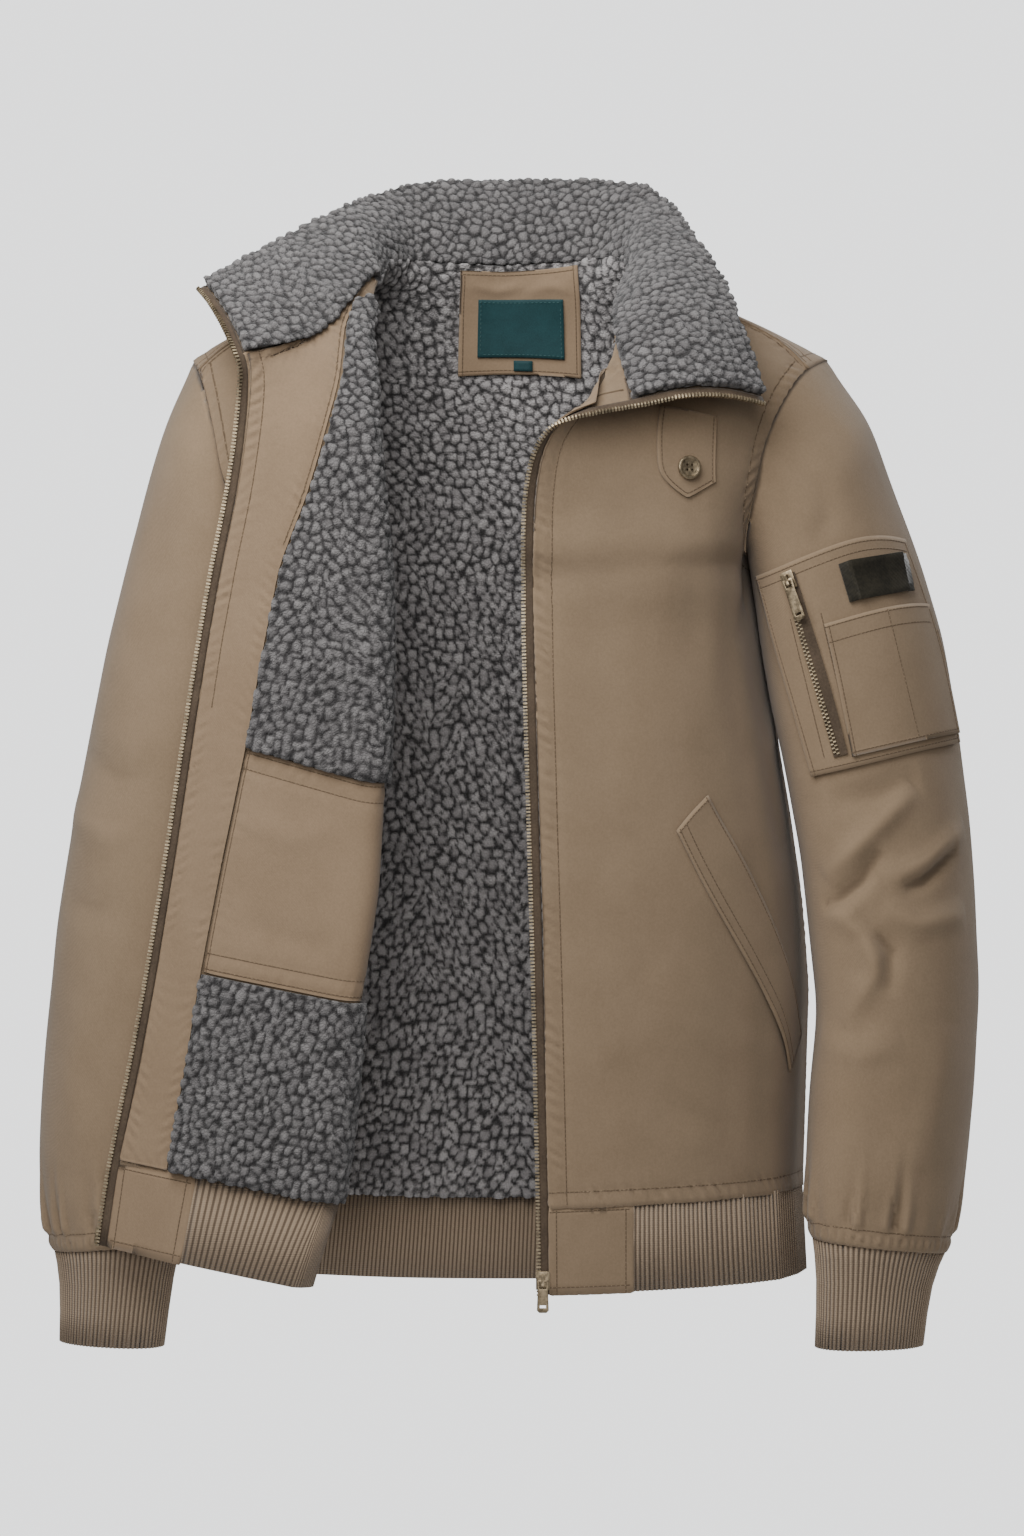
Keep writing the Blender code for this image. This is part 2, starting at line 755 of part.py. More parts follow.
def front_section(level, side, edge_x, neckline_x):
    """Key points of a left front section below the underarm, side seam to zip edge."""
    name, side_z, left, right, front, back, back_z, front_z = level
    half = left if side > 0 else right
    depth = front + BODY_SIDE_Y
    found = [(half, 0.0)]
    found.append(superellipse(half, depth, CORNER_TURN))
    found.append(superellipse(half, depth, OUTER_TURN))
    for x in (neckline_x, LAPEL_X, edge_x):
        found.append((x, depth_at(half, depth, x)))
    points = []
    for x, y in found:
        share = min(1.0, (half - x) / (half - edge_x))
        points.append(Vector((side * x, BODY_SIDE_Y - y, side_z + (front_z - side_z) * share)))
    return points


def left_front_sheet():
    """Sheet of the left front, band included: columns from side seam to zip edge."""
    steps = (2, 2, 2, 3, 3)
    rows = []
    for level, edge_x, neckline_x in zip(BODY, LEFT_EDGE_X, NECKLINE_X):
        rows.append(smooth(front_section(level, 1, edge_x, neckline_x), steps))
    for arm, stations in zip(ARMHOLE_LEFT_FRONT, LEFT_UPPER):
        rows.append(smooth([vec(arm)] + [vec(s) for s in stations], steps))
    shoulder = even([vec(p) for p in SHOULDER_LEFT], SHOULDER_CELLS)
    neck = even([vec(p) for p in COLLAR_LEFT], NECK_LEFT_CELLS)
    rows.append(shoulder + neck[1:])
    return lofted(rows, (1,) * (len(BODY) - 1) + FRONT_LEFT_STEPS)


def back_sheet():
    """Sheet of the back: columns from left side seam to right side seam."""
    steps = (3, 3, 4, 4, 3, 3)
    rows = []
    for level in BODY:
        name, side_z, left, right, front, back, back_z, front_z = level
        points = []
        for half, side in ((left, 1), (right, -1)):
            part = []
            for turn in (0.0, BLADE_TURN, NAPE_TURN):
                x, y = superellipse(half, back - BODY_SIDE_Y, turn)
                share = math.sin(math.radians(turn)) ** SEAM_EASE
                part.append(Vector((side * x, BODY_SIDE_Y + y, side_z + (back_z - side_z) * share)))
            if side > 0:
                points = part + [Vector((0.0, back, back_z))]
            else:
                points = points + list(reversed(part))
        rows.append(smooth(points, steps))
    for left, right, mark in zip(ARMHOLE_LEFT_BACK, ARMHOLE_RIGHT_BACK, BACK_UPPER):
        blade = Vector(mark[0:3])
        nape = Vector(mark[3:6])
        middle = Vector((BACK_MIDDLE_X, mark[6], mark[7]))
        other_blade = Vector((BACK_SHIFT - blade.x, blade.y, blade.z))
        other_nape = Vector((BACK_SHIFT - nape.x, nape.y, nape.z))
        points = [vec(left), blade, nape, middle, other_nape, other_blade, vec(right)]
        rows.append(smooth(points, steps))
    left_seam = even([vec(p) for p in SHOULDER_LEFT], SHOULDER_CELLS)
    right_seam = even([vec(p) for p in SHOULDER_RIGHT], SHOULDER_CELLS)
    neck = list(reversed(even([vec(p) for p in COLLAR_BACK], NECK_BACK_CELLS)))
    rows.append(left_seam + neck[1:-1] + list(reversed(right_seam)))
    return lofted(rows, (1,) * (len(BODY) - 1) + BACK_STEPS)


def flap_shares(share):
    """Shares at the columns of the turned back part: sherpa up to the given share, then facing."""
    inner = [share * (i + 1) / SHERPA_COLS for i in range(SHERPA_COLS)]
    outer = [share + (1 - share) * (i + 1) / FACING_COLS for i in range(FACING_COLS)]
    return inner + outer


def flap_section(row, crown):
    """Section points from the fold to the zip edge of the turned back part."""
    name, fold_x, fold_y, fold_z, radius, edge_x, edge_y, edge_z, share = row
    turn = []
    centre_x = fold_x - radius - LINING_TOP - SHERPA
    for i in range(1, FOLD_STEPS + 1):
        angle = math.pi * i / FOLD_STEPS
        x = centre_x + radius * math.sin(angle)
        y = fold_y - radius + radius * math.cos(angle)
        turn.append(Vector((x, y, fold_z)))
    edge = Vector((edge_x, edge_y, edge_z))
    first = turn[-1]
    middle = (first + edge) / 2 + Vector((0.0, -crown, 0.0))
    path = [first, middle, edge]
    at = spline(path)
    rest = [at(u) for u in numbers_at(path, flap_shares(share))]
    return turn + rest


def right_front_sheet():
    """Sheet of the right front: side seam, fold, then out to the zip edge."""
    rows = []
    for i, row in enumerate(FLAP):
        name, fold_x, fold_y, fold_z, radius, edge_x, edge_y, edge_z, share = row
        start = Vector((fold_x - radius - LINING_TOP - SHERPA, fold_y, fold_z))
        if i < len(BODY):
            side_z = BODY[i][1]
            half = BODY[i][3]
            front = BODY[i][4]
            corner = superellipse(half, front + BODY_SIDE_Y, CORNER_TURN)
            side = Vector((-half, BODY_SIDE_Y, side_z))
            bend = Vector((-corner[0], BODY_SIDE_Y - corner[1] * FLAP_CORNER_SHARE,
                           side_z + (fold_z - side_z) * FLAP_CORNER_RISE))
            lean = start + (start - bend).normalized() * -FLAP_LEAN
            outer = Vector((lean.x, (lean.y + start.y) / 2, lean.z))
        else:
            side = vec(ARMHOLE_RIGHT_FRONT[i - len(BODY)])
            bend = vec(RIGHT_UPPER[i - len(BODY)][0])
            outer = vec(RIGHT_UPPER[i - len(BODY)][1])
        body = smooth([side, bend, outer, start], (2, 2, 2))
        rows.append(body + flap_section(row, FLAP_CROWN[i]))
    shoulder = even([vec(p) for p in SHOULDER_RIGHT], SHOULDER_CELLS)
    first = vec(COLLAR_RIGHT[0])
    last = shoulder[-1]
    turn = []
    middle = (first + last) / 2
    reach = (first - last).length / 2
    for i in range(1, FOLD_STEPS):
        angle = math.pi * i / FOLD_STEPS
        step = middle + (last - middle) * math.cos(angle)
        turn.append(step + Vector((reach * math.sin(angle), 0.0, -TURN_DROP)))
    neck = [vec(p) for p in COLLAR_RIGHT]
    at = spline(neck)
    numbers = [0.0] + numbers_at(neck, flap_shares(FLAP_TOP_SHARE))
    rows.append(shoulder + turn + [at(u) for u in numbers])
    return lofted(rows, (1,) * (len(BODY) - 1) + FRONT_RIGHT_STEPS)


def collar_sheet():
    """Sheet of the collar: columns from the right front end round to the left front end."""
    necks = []
    edges = []
    plan = (
        (COLLAR_RIGHT, [0.0] + flap_shares(FLAP_TOP_SHARE), True),
        (COLLAR_BACK, steps(NECK_BACK_CELLS), False),
        (COLLAR_LEFT, steps(NECK_LEFT_CELLS), False),
    )
    for table, shares, backwards in plan:
        neck = [vec(p) for p in table]
        edge = [vec(p[3:6]) for p in table]
        numbers = numbers_at(neck, shares)
        low = [spline(neck)(u) for u in numbers]
        high = [spline(edge)(u) for u in numbers]
        if backwards:
            low.reverse()
            high.reverse()
        if table is COLLAR_LEFT:
            low = low[1:]
            high = high[1:]
        necks.extend(low)
        edges.extend(high)
    count = len(necks)
    rows = []
    for r in range(COLLAR_ROWS + 1):
        v = r / COLLAR_ROWS
        line = []
        for c in range(count):
            along = necks[min(c + 1, count - 1)] - necks[max(c - 1, 0)]
            inward = along.cross(edges[c] - necks[c]).normalized()
            left = max(0.0, min(1.0, (c - count + COLLAR_CROWN_FROM) / COLLAR_CROWN_OVER))
            crown = COLLAR_CROWN + (COLLAR_CROWN_LEFT - COLLAR_CROWN) * left
            line.append(necks[c].lerp(edges[c], v) + inward * (crown * 4 * v * (1 - v)))
        rows.append(line)
    return rows


def ring_points(ring, turns):
    """Points of a sleeve ring at turns in degrees: 0 outside, 90 front, 180 inside."""
    name, outer_x, outer_z, inner_x, inner_z, middle_y, half_depth = ring
    outer = Vector((outer_x, middle_y + RING_SKEW * RING_SKEW_OUTER, outer_z))
    inner = Vector((inner_x, middle_y - RING_SKEW, inner_z))
    middle = (outer + inner) / 2
    reach = (outer - inner) / 2
    power = 2 / RING_ROUNDNESS
    found = []
    for turn in turns:
        c = math.cos(math.radians(turn))
        s = math.sin(math.radians(turn))
        a = math.copysign(abs(c) ** power, c)
        b = math.copysign(abs(s) ** power, s)
        found.append(middle + reach * a + Vector((0.0, -half_depth * b, 0.0)))
    return found


def sleeve_sheet(front, back, front_col, back_col, rings):
    """Sheet of a sleeve: its first ring is the armhole that the panels leave."""
    base = len(BODY) - 1
    armhole = [front[r][front_col] for r in range(base, len(front))]
    over = [back[r][back_col] for r in range(len(back) - 2, base, -1)]
    armhole = armhole + over
    turns = [180.0 - 360.0 * i / RING_STEPS for i in range(RING_STEPS)]
    rows = [armhole]
    for ring in rings:
        rows.append(ring_points(ring, turns))
    return rows


def make_shell():
    """Front, back and sleeve panels with their linings and facings."""
    left = left_front_sheet()
    back = back_sheet()
    right = right_front_sheet()
    collar = collar_sheet()
    left_normals = normals_of(left, False, 3, 8, (0, -1, 0))
    back_normals = normals_of(back, False, 3, 10, (0, 1, 0))
    right_normals = normals_of(right, False, 3, 3, (0, -1, 0))
    collar_normals = normals_of(collar, False, 2, 13, (0, 1, 0))
    base = len(BODY) - 1
    wide = len(back[0]) - 1
    share_normals(
        [(left_normals, r, 0) for r in range(base)],
        [(back_normals, r, 0) for r in range(base)],
    )
    share_normals(
        [(right_normals, r, 0) for r in range(base)],
        [(back_normals, r, wide) for r in range(base)],
    )
    sleeves = []
    for grid, normals, col, rings, name in (
        (left, left_normals, 0, SLEEVE_LEFT, "sleeve_left"),
        (right, right_normals, wide, SLEEVE_RIGHT, "sleeve_right"),
    ):
        sleeve = sleeve_sheet(grid, back, 0, col, rings)
        way = (1, 0, 0) if name == "sleeve_left" else (-1, 0, 0)
        sleeve_normals = normals_of(sleeve, True, 5, 12, way)
        tall = len(grid) - 1
        front_border = [(normals, base + k, 0) for k in range(tall - base + 1)]
        ring_border = [(sleeve_normals, 0, k) for k in range(tall - base + 1)]
        share_normals(front_border[1:-1], ring_border[1:-1])
        top = len(back) - 1
        back_border = [(back_normals, top - k, col) for k in range(top - base + 1)]
        count = len(sleeve[0])
        ring_border = [(sleeve_normals, 0, (tall - base + k) % count) for k in range(top - base + 1)]
        share_normals(back_border[1:-1], ring_border[1:-1])
        share_normals([front_border[-1]], [ring_border[0]], [back_border[0]])
        share_normals([front_border[0]], [ring_border[-1]], [back_border[-1]])
        sleeves.append((name, sleeve, sleeve_normals))
    last = len(left) - 1
    share_normals(
        [(left_normals, last, k) for k in range(1, SHOULDER_CELLS + 1)],
        [(back_normals, len(back) - 1, k) for k in range(1, SHOULDER_CELLS + 1)],
    )
    share_normals(
        [(right_normals, len(right) - 1, k) for k in range(1, SHOULDER_CELLS + 1)],
        [(back_normals, len(back) - 1, wide - k) for k in range(1, SHOULDER_CELLS + 1)],
    )
    join_collar(left_normals, back_normals, right_normals, collar_normals)
    join_corners(left_normals, back_normals, right_normals, collar_normals)
    ply("front_left", left, left_normals, CLOTH, 0.0, TWILL, rows=(1, last))
    ply("back", back, back_normals, CLOTH, 0.0, TWILL, rows=(1, len(back) - 1))
    ply("front_right", right, right_normals, CLOTH, 0.0, TWILL, rows=(1, len(right) - 1))
    for name, sleeve, sleeve_normals in sleeves:
        ply(name, sleeve, sleeve_normals, CLOTH, 0.0, TWILL, closed=True)
    ply("collar_shell", collar, collar_normals, CLOTH, 0.0, TWILL, trim=COLLAR_TRIM)
    ply("collar_lining", collar, collar_normals, LINING_TOP + SHERPA, LINING_TOP, SHERPA_GREY,
        trim=LINING_TRIM)
    ply("lining_back", back, back_normals, LINING_TOP + SHERPA, LINING_TOP, SHERPA_GREY,
        rows=(1, len(back) - 1), cols=(LINING_BACK_INSET, wide - LINING_BACK_INSET))
    make_fronts(left, left_normals, right, right_normals)
    return left, left_normals, back, back_normals, right, right_normals, collar, collar_normals, sleeves


def join_collar(left_normals, back_normals, right_normals, collar_normals):
    """Square up the neck seam between the panels and the collar."""
    flap = SHERPA_COLS + FACING_COLS
    top = len(right_normals) - 1
    end = len(right_normals[0]) - 1
    share_normals(
        [(right_normals, top, end - k) for k in range(flap + 1)],
        [(collar_normals, 0, k) for k in range(flap + 1)],
    )
    wide = len(back_normals[0]) - 1
    top = len(back_normals) - 1
    share_normals(
        [(back_normals, top, wide - SHOULDER_CELLS - k) for k in range(NECK_BACK_CELLS + 1)],
        [(collar_normals, 0, flap + 1 + k) for k in range(NECK_BACK_CELLS + 1)],
    )
    top = len(left_normals) - 1
    share_normals(
        [(left_normals, top, SHOULDER_CELLS + k) for k in range(1, NECK_LEFT_CELLS + 1)],
        [(collar_normals, 0, flap + 1 + NECK_BACK_CELLS + k) for k in range(1, NECK_LEFT_CELLS + 1)],
    )


def join_corners(left_normals, back_normals, right_normals, collar_normals):
    """Square up the two points where shoulder seam and neck seam meet."""
    flap = SHERPA_COLS + FACING_COLS
    wide = len(back_normals[0]) - 1
    back_top = len(back_normals) - 1
    share_normals(
        [(left_normals, len(left_normals) - 1, SHOULDER_CELLS)],
        [(back_normals, back_top, SHOULDER_CELLS)],
        [(collar_normals, 0, flap + 1 + NECK_BACK_CELLS)],
    )
    share_normals(
        [(right_normals, len(right_normals) - 1, SHOULDER_CELLS)],
        [(back_normals, back_top, wide - SHOULDER_CELLS)],
        [(collar_normals, 0, flap + 1)],
    )


def make_fronts(left, left_normals, right, right_normals):
    """Facings, front linings and the inner pocket."""
    top = len(right) - 1
    wide = len(right[0]) - 1
    facing = wide - FACING_COLS
    across = (FLAP_FIRST_COL, facing)
    low, high = INNER_POCKET_ROWS
    sherpa = (LINING_TOP + SHERPA, LINING_TOP, SHERPA_GREY)
    cloth = (LINING_TOP + FACING, LINING_TOP, TWILL_INSIDE)
    strip = (LINING_TOP + FACING + FACING_DROP, LINING_TOP + FACING_DROP, TWILL_INSIDE)
    deeper = (LINING_TOP + FACING + LEFT_FACING_DROP, LINING_TOP + LEFT_FACING_DROP, TWILL_INSIDE)
    ply("facing_right", right, right_normals, *strip, rows=(1, top), cols=(facing, wide), trim=LINING_TRIM)
    ply("lining_right_upper", right, right_normals, *sherpa, rows=(high, top - 1), cols=across,
        trim=LINING_TRIM)
    ply("lining_right_lower", right, right_normals, *sherpa, rows=(1, low), cols=across, trim=LINING_TRIM)
    ply("inner_pocket", right, right_normals, *cloth, rows=INNER_POCKET_ROWS, cols=across)
    ply("facing_left", left, left_normals, *deeper, rows=(1, len(left) - 2), cols=LEFT_FACING_COLS,
        trim=LINING_TRIM)


def band_path(left, back, right, row):
    """Points of one row of the hem band, left zip edge round to right zip edge."""
    return list(reversed(left[row])) + back[row][1:] + right[row][1:]


def ribbed(name, paths, outs, closed):
    """Rib knit wall through its paths: ribs raised in its outer points over a plain inside."""
    count = len(paths[0])
    kept = list(range(0, count, RIB_INNER_EVERY))
    if not closed and kept[-1] != count - 1:
        kept.append(count - 1)
    points = []
    for path, out in zip(paths, outs):
        for k in range(count):
            groove = RIB_DEPTH if k % 2 else 0.0
            points.append(path[k] - out[k] * groove)
    inner = len(points)
    for path, out in zip(paths, outs):
        for k in kept:
            points.append(path[k] - out[k] * RIB_KNIT)
    wide = len(kept)
    top = len(paths) - 1
    spans = count if closed else count - 1
    pairs = wide if closed else wide - 1
    faces = []
    for r in range(top):
        for k in range(spans):
            n = (k + 1) % count
            faces.append((r * count + k, r * count + n, (r + 1) * count + n, (r + 1) * count + k))
        for k in range(pairs):
            a = inner + r * wide + k
            b = inner + r * wide + (k + 1) % wide
            faces.append((b, a, a + wide, b + wide))
    for k in range(pairs):
        n = (k + 1) % wide
        last = kept[n] if n else count
        run = [m % count for m in range(kept[k], last + 1)]
        faces.append(tuple(list(reversed(run)) + [inner + k, inner + n]))
        over = [top * count + m for m in run]
        faces.append(tuple(over + [inner + top * wide + n, inner + top * wide + k]))
    if not closed:
        for r in range(top):
            a = r * count
            b = inner + r * wide
            faces.append((a, a + count, b + wide, b))
            a += count - 1
            b += wide - 1
            faces.append((a, b, b + wide, a + count))
    return add_solid(name, points, faces, RIB_TAN)


def path_normals(path, closed, probe):
    """Normals of a level path, on the side of the probe vector at its first point."""
    count = len(path)
    found = []
    for k in range(count):
        after = path[(k + 1) % count] if closed else path[min(k + 1, count - 1)]
        before = path[(k - 1) % count] if closed else path[max(k - 1, 0)]
        along = after - before
        along.z = 0.0
        found.append(along.cross(Vector((0, 0, 1))).normalized())
    if found[0].dot(Vector(probe)) < 0:
        found = [-n for n in found]
    return found


def make_band(left, left_normals, back, right):
    """Ribbed hem band and its two plain tabs."""
    ply("hem_tab_left", left, left_normals, TAB_THICK, 0.0, TWILL, rows=(0, 1), cols=LEFT_TAB_COLS)
    low_at = chained(band_path(left, back, right, 0))
    high_at = chained(band_path(left, back, right, 1))
    first = len(left[0]) - 1 - LEFT_TAB_COLS[0]
    last = len(left[0]) + len(back[0]) + len(right[0]) - 3
    fine = [high_at(first + (TAB_RIGHT_TOP - first) * share) for share in steps(BAND_SAMPLES)]
    length = sum((b - a).length for a, b in zip(fine, fine[1:]))
    ribs = int(length / RIB_PITCH / 3) * 3
    low = []
    high = []
    for share in steps(2 * ribs):
        a = low_at(first + BAND_END_GAP + (TAB_RIGHT_END - first - 2 * BAND_END_GAP) * share)
        b = high_at(first + BAND_END_GAP + (TAB_RIGHT_TOP - first - 2 * BAND_END_GAP) * share)
        rise = (b - a).normalized() * SEAM_GAP * 0.5
        low.append(a + rise)
        high.append(b - rise)
    outs = [path_normals(path, False, (0, -1, 0)) for path in (low, high)]
    ribbed("hem_rib", (low, high), outs, False)
    grid = []
    for at, end in ((low_at, TAB_RIGHT_END), (high_at, TAB_RIGHT_TOP)):
        start = end + BAND_END_GAP
        grid.append([at(start + (last - start) * share) for share in steps(TAB_CELLS)])
    normals = [path_normals(line, False, (0, 1, 0)) for line in grid]
    ply("hem_tab_right", grid, normals, TAB_THICK, 0.0, TWILL)


def make_cuff(name, rings, way):
    """Ribbed cuff through its rings."""
    turns = [360.0 * share for share in steps(CUFF_SAMPLES)]
    paths = [even(ring_points(ring, turns), 2 * CUFF_RIBS)[:-1] for ring in rings]
    outs = [path_normals(path, True, way) for path in paths]
    ribbed(name, paths, outs, True)


def make_tape(name, sheet, normals, col, collar, collar_normals, collar_col):
    """Zip tape along a front edge and on up the edge of the collar."""
    rows = []
    for line, ways in zip(sheet, normals):
        rows.append((line[col], (line[col] - line[col - 1]).normalized(), ways[col]))
    inside = collar_col - 1 if collar_col else 1
    for line, ways in list(zip(collar, collar_normals))[1:]:
        rows.append((line[collar_col], (line[collar_col] - line[inside]).normalized(), ways[collar_col]))
    grid = []
    lines = []
    for edge, out, normal in rows:
        flat = (out - normal * out.dot(normal)).normalized()
        grid.append([edge + flat * TAPE_START, edge + flat * (TAPE_START + TAPE_WIDTH)])
        lines.append([normal, normal])
    ply(name, grid, lines, TAPE_DEPTH + TAPE_THICK, TAPE_DEPTH, TAPE_TAN, trim=0.0)


def box(name, size, centre, frame, look):
    """Box turned by a frame of three unit vectors."""
    points = []
    for i in (-0.5, 0.5):
        for j in (-0.5, 0.5):
            for k in (-0.5, 0.5):
                step = frame[0] * (i * size[0]) + frame[1] * (j * size[1]) + frame[2] * (k * size[2])
                points.append(centre + step)
    faces = [(0, 1, 3, 2), (4, 6, 7, 5), (0, 4, 5, 1), (2, 3, 7, 6), (0, 2, 6, 4), (1, 5, 7, 3)]
    return add_solid(name, points, faces, look)


def join(base, others):
    """Unite boxes into one body."""
    cutters = bpy.data.collections["guides"]
    for other in others:
        fuse = base.modifiers.new("fuse", "BOOLEAN")
        fuse.operation = "UNION"
        fuse.solver = "EXACT"
        fuse.object = other
        other.hide_render = True
        other.display_type = "WIRE"
        bpy.data.collections["jacket"].objects.unlink(other)
        cutters.objects.link(other)


def make_slider(name, centre, frame, slotted):
    """Slider with its bridge: frame is across, along towards the pull, and out."""
    across, along, out = frame
    half = SLIDER_SLOT / 2 + SLIDER_PLATE / 2
    parts = []
    size = (SLIDER_WIDTH, SLIDER_LENGTH, SLIDER_PLATE)
    base = box(name, size, centre + out * half, frame, BRASS)
    if slotted:
        parts.append(box(name + "_rear", size, centre - out * half, frame, BRASS))
        core = (SLIDER_CORE, SLIDER_LENGTH - SLIDER_CORE_SHORTER, SLIDER_SLOT + SLIDER_PLATE)
        shift = across * ((SLIDER_CORE - SLIDER_WIDTH) / 2)
        parts.append(box(name + "_core", core, centre + shift, frame, BRASS))
    face = half + SLIDER_PLATE / 2
    leg_rise = BRIDGE_RISE + BRIDGE_SINK
    for way in (-1, 1):
        spot = centre + out * (face - BRIDGE_SINK + leg_rise / 2)
        spot = spot + along * (way * (BRIDGE_LENGTH - BRIDGE_LEG) / 2)
        parts.append(box(name + "_leg", (BRIDGE_WIDTH, BRIDGE_LEG, leg_rise), spot, frame, BRASS))
    spot = centre + out * (face + BRIDGE_RISE - 0.5)
    bar = (BRIDGE_WIDTH - 0.02, BRIDGE_LENGTH - 0.1, BRIDGE_BAR)
    parts.append(box(name + "_bar", bar, spot, frame, BRASS))
    join(base, parts)
    return centre + out * (face + PULL_AXIS_RISE)


def make_pull(name, axis_point, frame, length):
    """Pull plate with a window round the bridge and a slot near its free end."""
    across, along, out = frame
    curve = bpy.data.curves.new(name, "CURVE")
    curve.dimensions = "2D"
    curve.fill_mode = "BOTH"
    curve.extrude = PULL_THICK / 2 * MM
    half = PULL_WIDTH / 2
    window = PULL_WINDOW_WIDTH / 2
    outlines = (
        ((-half + PULL_SHOULDER, -PULL_BAR), (half - PULL_SHOULDER, -PULL_BAR), (half, PULL_BAR - PULL_WAIST),
         (half - PULL_WAIST, PULL_WINDOW + 2.0), (half, length - PULL_CORNER), (half - PULL_CORNER, length),
         (-half + PULL_CORNER, length), (-half, length - PULL_CORNER), (-half + PULL_WAIST, PULL_WINDOW + 2.0),
         (-half, PULL_BAR - PULL_WAIST)),
        ((-window, PULL_BAR), (window, PULL_BAR), (window, PULL_WINDOW), (-window, PULL_WINDOW)),
        ((-PULL_SLOT, length - PULL_SLOT_NEAR), (PULL_SLOT, length - PULL_SLOT_NEAR),
         (PULL_SLOT, length - PULL_SLOT_FAR), (-PULL_SLOT, length - PULL_SLOT_FAR)),
    )
    for outline in outlines:
        line = curve.splines.new("POLY")
        line.points.add(len(outline) - 1)
        for point, (x, y) in zip(line.points, outline):
            point.co = (x * MM, y * MM, 0.0, 1.0)
        line.use_cyclic_u = True
    guide = bpy.data.objects.new(name + "_outline", curve)
    bpy.data.collections["jacket"].objects.link(guide)
    bpy.context.view_layer.update()
    graph = bpy.context.evaluated_depsgraph_get()
    mesh = bpy.data.meshes.new_from_object(guide.evaluated_get(graph))
    bpy.data.objects.remove(guide)
    form = bmesh.new()
    form.from_mesh(mesh)
    bmesh.ops.remove_doubles(form, verts=form.verts, dist=0.00001)
    bmesh.ops.recalc_face_normals(form, faces=form.faces)
    form.to_mesh(mesh)
    form.free()
    piece = bpy.data.objects.new(name, mesh)
    mesh.materials.clear()
    mesh.materials.append(material_of((name + "_" + BRASS[0], *BRASS[1:])))
    turn = Matrix((across, along, out)).transposed().to_4x4()
    piece.matrix_world = Matrix.Translation(axis_point * MM) @ turn
    bpy.data.collections["jacket"].objects.link(piece)
    return piece


def make_button(point, normal):
    """Four hole button with a raised rim."""
    up = Vector((0, 0, 1))
    across = up.cross(normal).normalized()
    along = normal.cross(across)
    mesh = bpy.data.meshes.new("tab_button")
    links = [(i, i + 1) for i in range(len(BUTTON_PROFILE) - 1)]
    mesh.from_pydata([(x * MM, 0.0, z * MM) for x, z in BUTTON_PROFILE], links, [])
    button = bpy.data.objects.new("tab_button", mesh)
    mesh.materials.append(material_of(("tab_button_" + BRASS[0], *BRASS[1:])))
    turned = button.modifiers.new("turn", "SCREW")
    turned.steps = BUTTON_TURNS
    turned.render_steps = BUTTON_TURNS
    turned.use_merge_vertices = True
    turned.merge_threshold = 0.00001
    turned.use_normal_calculate = True
    bpy.data.collections["jacket"].objects.link(button)
    turn = Matrix((across, along, normal)).transposed().to_4x4()
    button.matrix_world = Matrix.Translation(point * MM) @ turn
    for i in (-1, 1):
        for k in (-1, 1):
            bpy.ops.mesh.primitive_cylinder_add(
                vertices=8, radius=BUTTON_HOLE * MM, depth=BUTTON_HOLE_DEPTH * MM, location=(0, 0, 0))
            hole = bpy.context.active_object
            hole.name = "button_hole"
            spot = point + across * (i * BUTTON_HOLE_OUT) + along * (k * BUTTON_HOLE_OUT)
            hole.matrix_world = Matrix.Translation(spot * MM) @ turn
            hole.hide_render = True
            hole.display_type = "WIRE"
            for group in list(hole.users_collection):
                group.objects.unlink(hole)
            bpy.data.collections["guides"].objects.link(hole)
            drill = button.modifiers.new("hole", "BOOLEAN")
            drill.operation = "DIFFERENCE"
            drill.solver = "EXACT"
            drill.object = hole


def make_tab(sheet):
    """Pointed button tab under the collar, with its button."""
    grid, normals = sheet
    places = []
    for r, inside, outside in BUTTON_TAB:
        places.append([(r, inside + (outside - inside) * i / 3) for i in range(4)])
    top = laid("button_tab", sheet, places, TRIM_LIFT, CLOTH, TWILL)
    point, normal = on_sheet(top[0], top[1], BUTTON_AT[0], BUTTON_AT[1], BUTTON_LIFT)
    make_button(point, normal)


def make_badge(panel):
    """Blank badge with a raised frame."""
    corners = on_panel(SLEEVE_BADGE)
    places = places_between(corners, BADGE_FRAME, BADGE_EDGE)
    thick = []
    for i in range(len(BADGE_EDGE)):
        field = [1 < i < 4 and 1 < k < 4 for k in range(len(BADGE_FRAME))]
        thick.append([BADGE_THICK if plain else BADGE_THICK + BADGE_RIM for plain in field])
    laid("sleeve_badge", panel, places, STACK_LIFT, thick, BADGE_DARK)


def on_panel(shares):
    """Shares across and down the sleeve panel as rows and columns of its points."""
    return tuple((v * PANEL_ROWS, u * PANEL_COLS) for u, v in shares)


def hanging(across, out):
    """Direction in which a pull hangs from an axis, and the matching way out."""
    down = Vector((0, 0, -1))
    down = (down - across * down.dot(across)).normalized()
    face = across.cross(down)
    if face.dot(out) < 0:
        face = -face
    return down, face


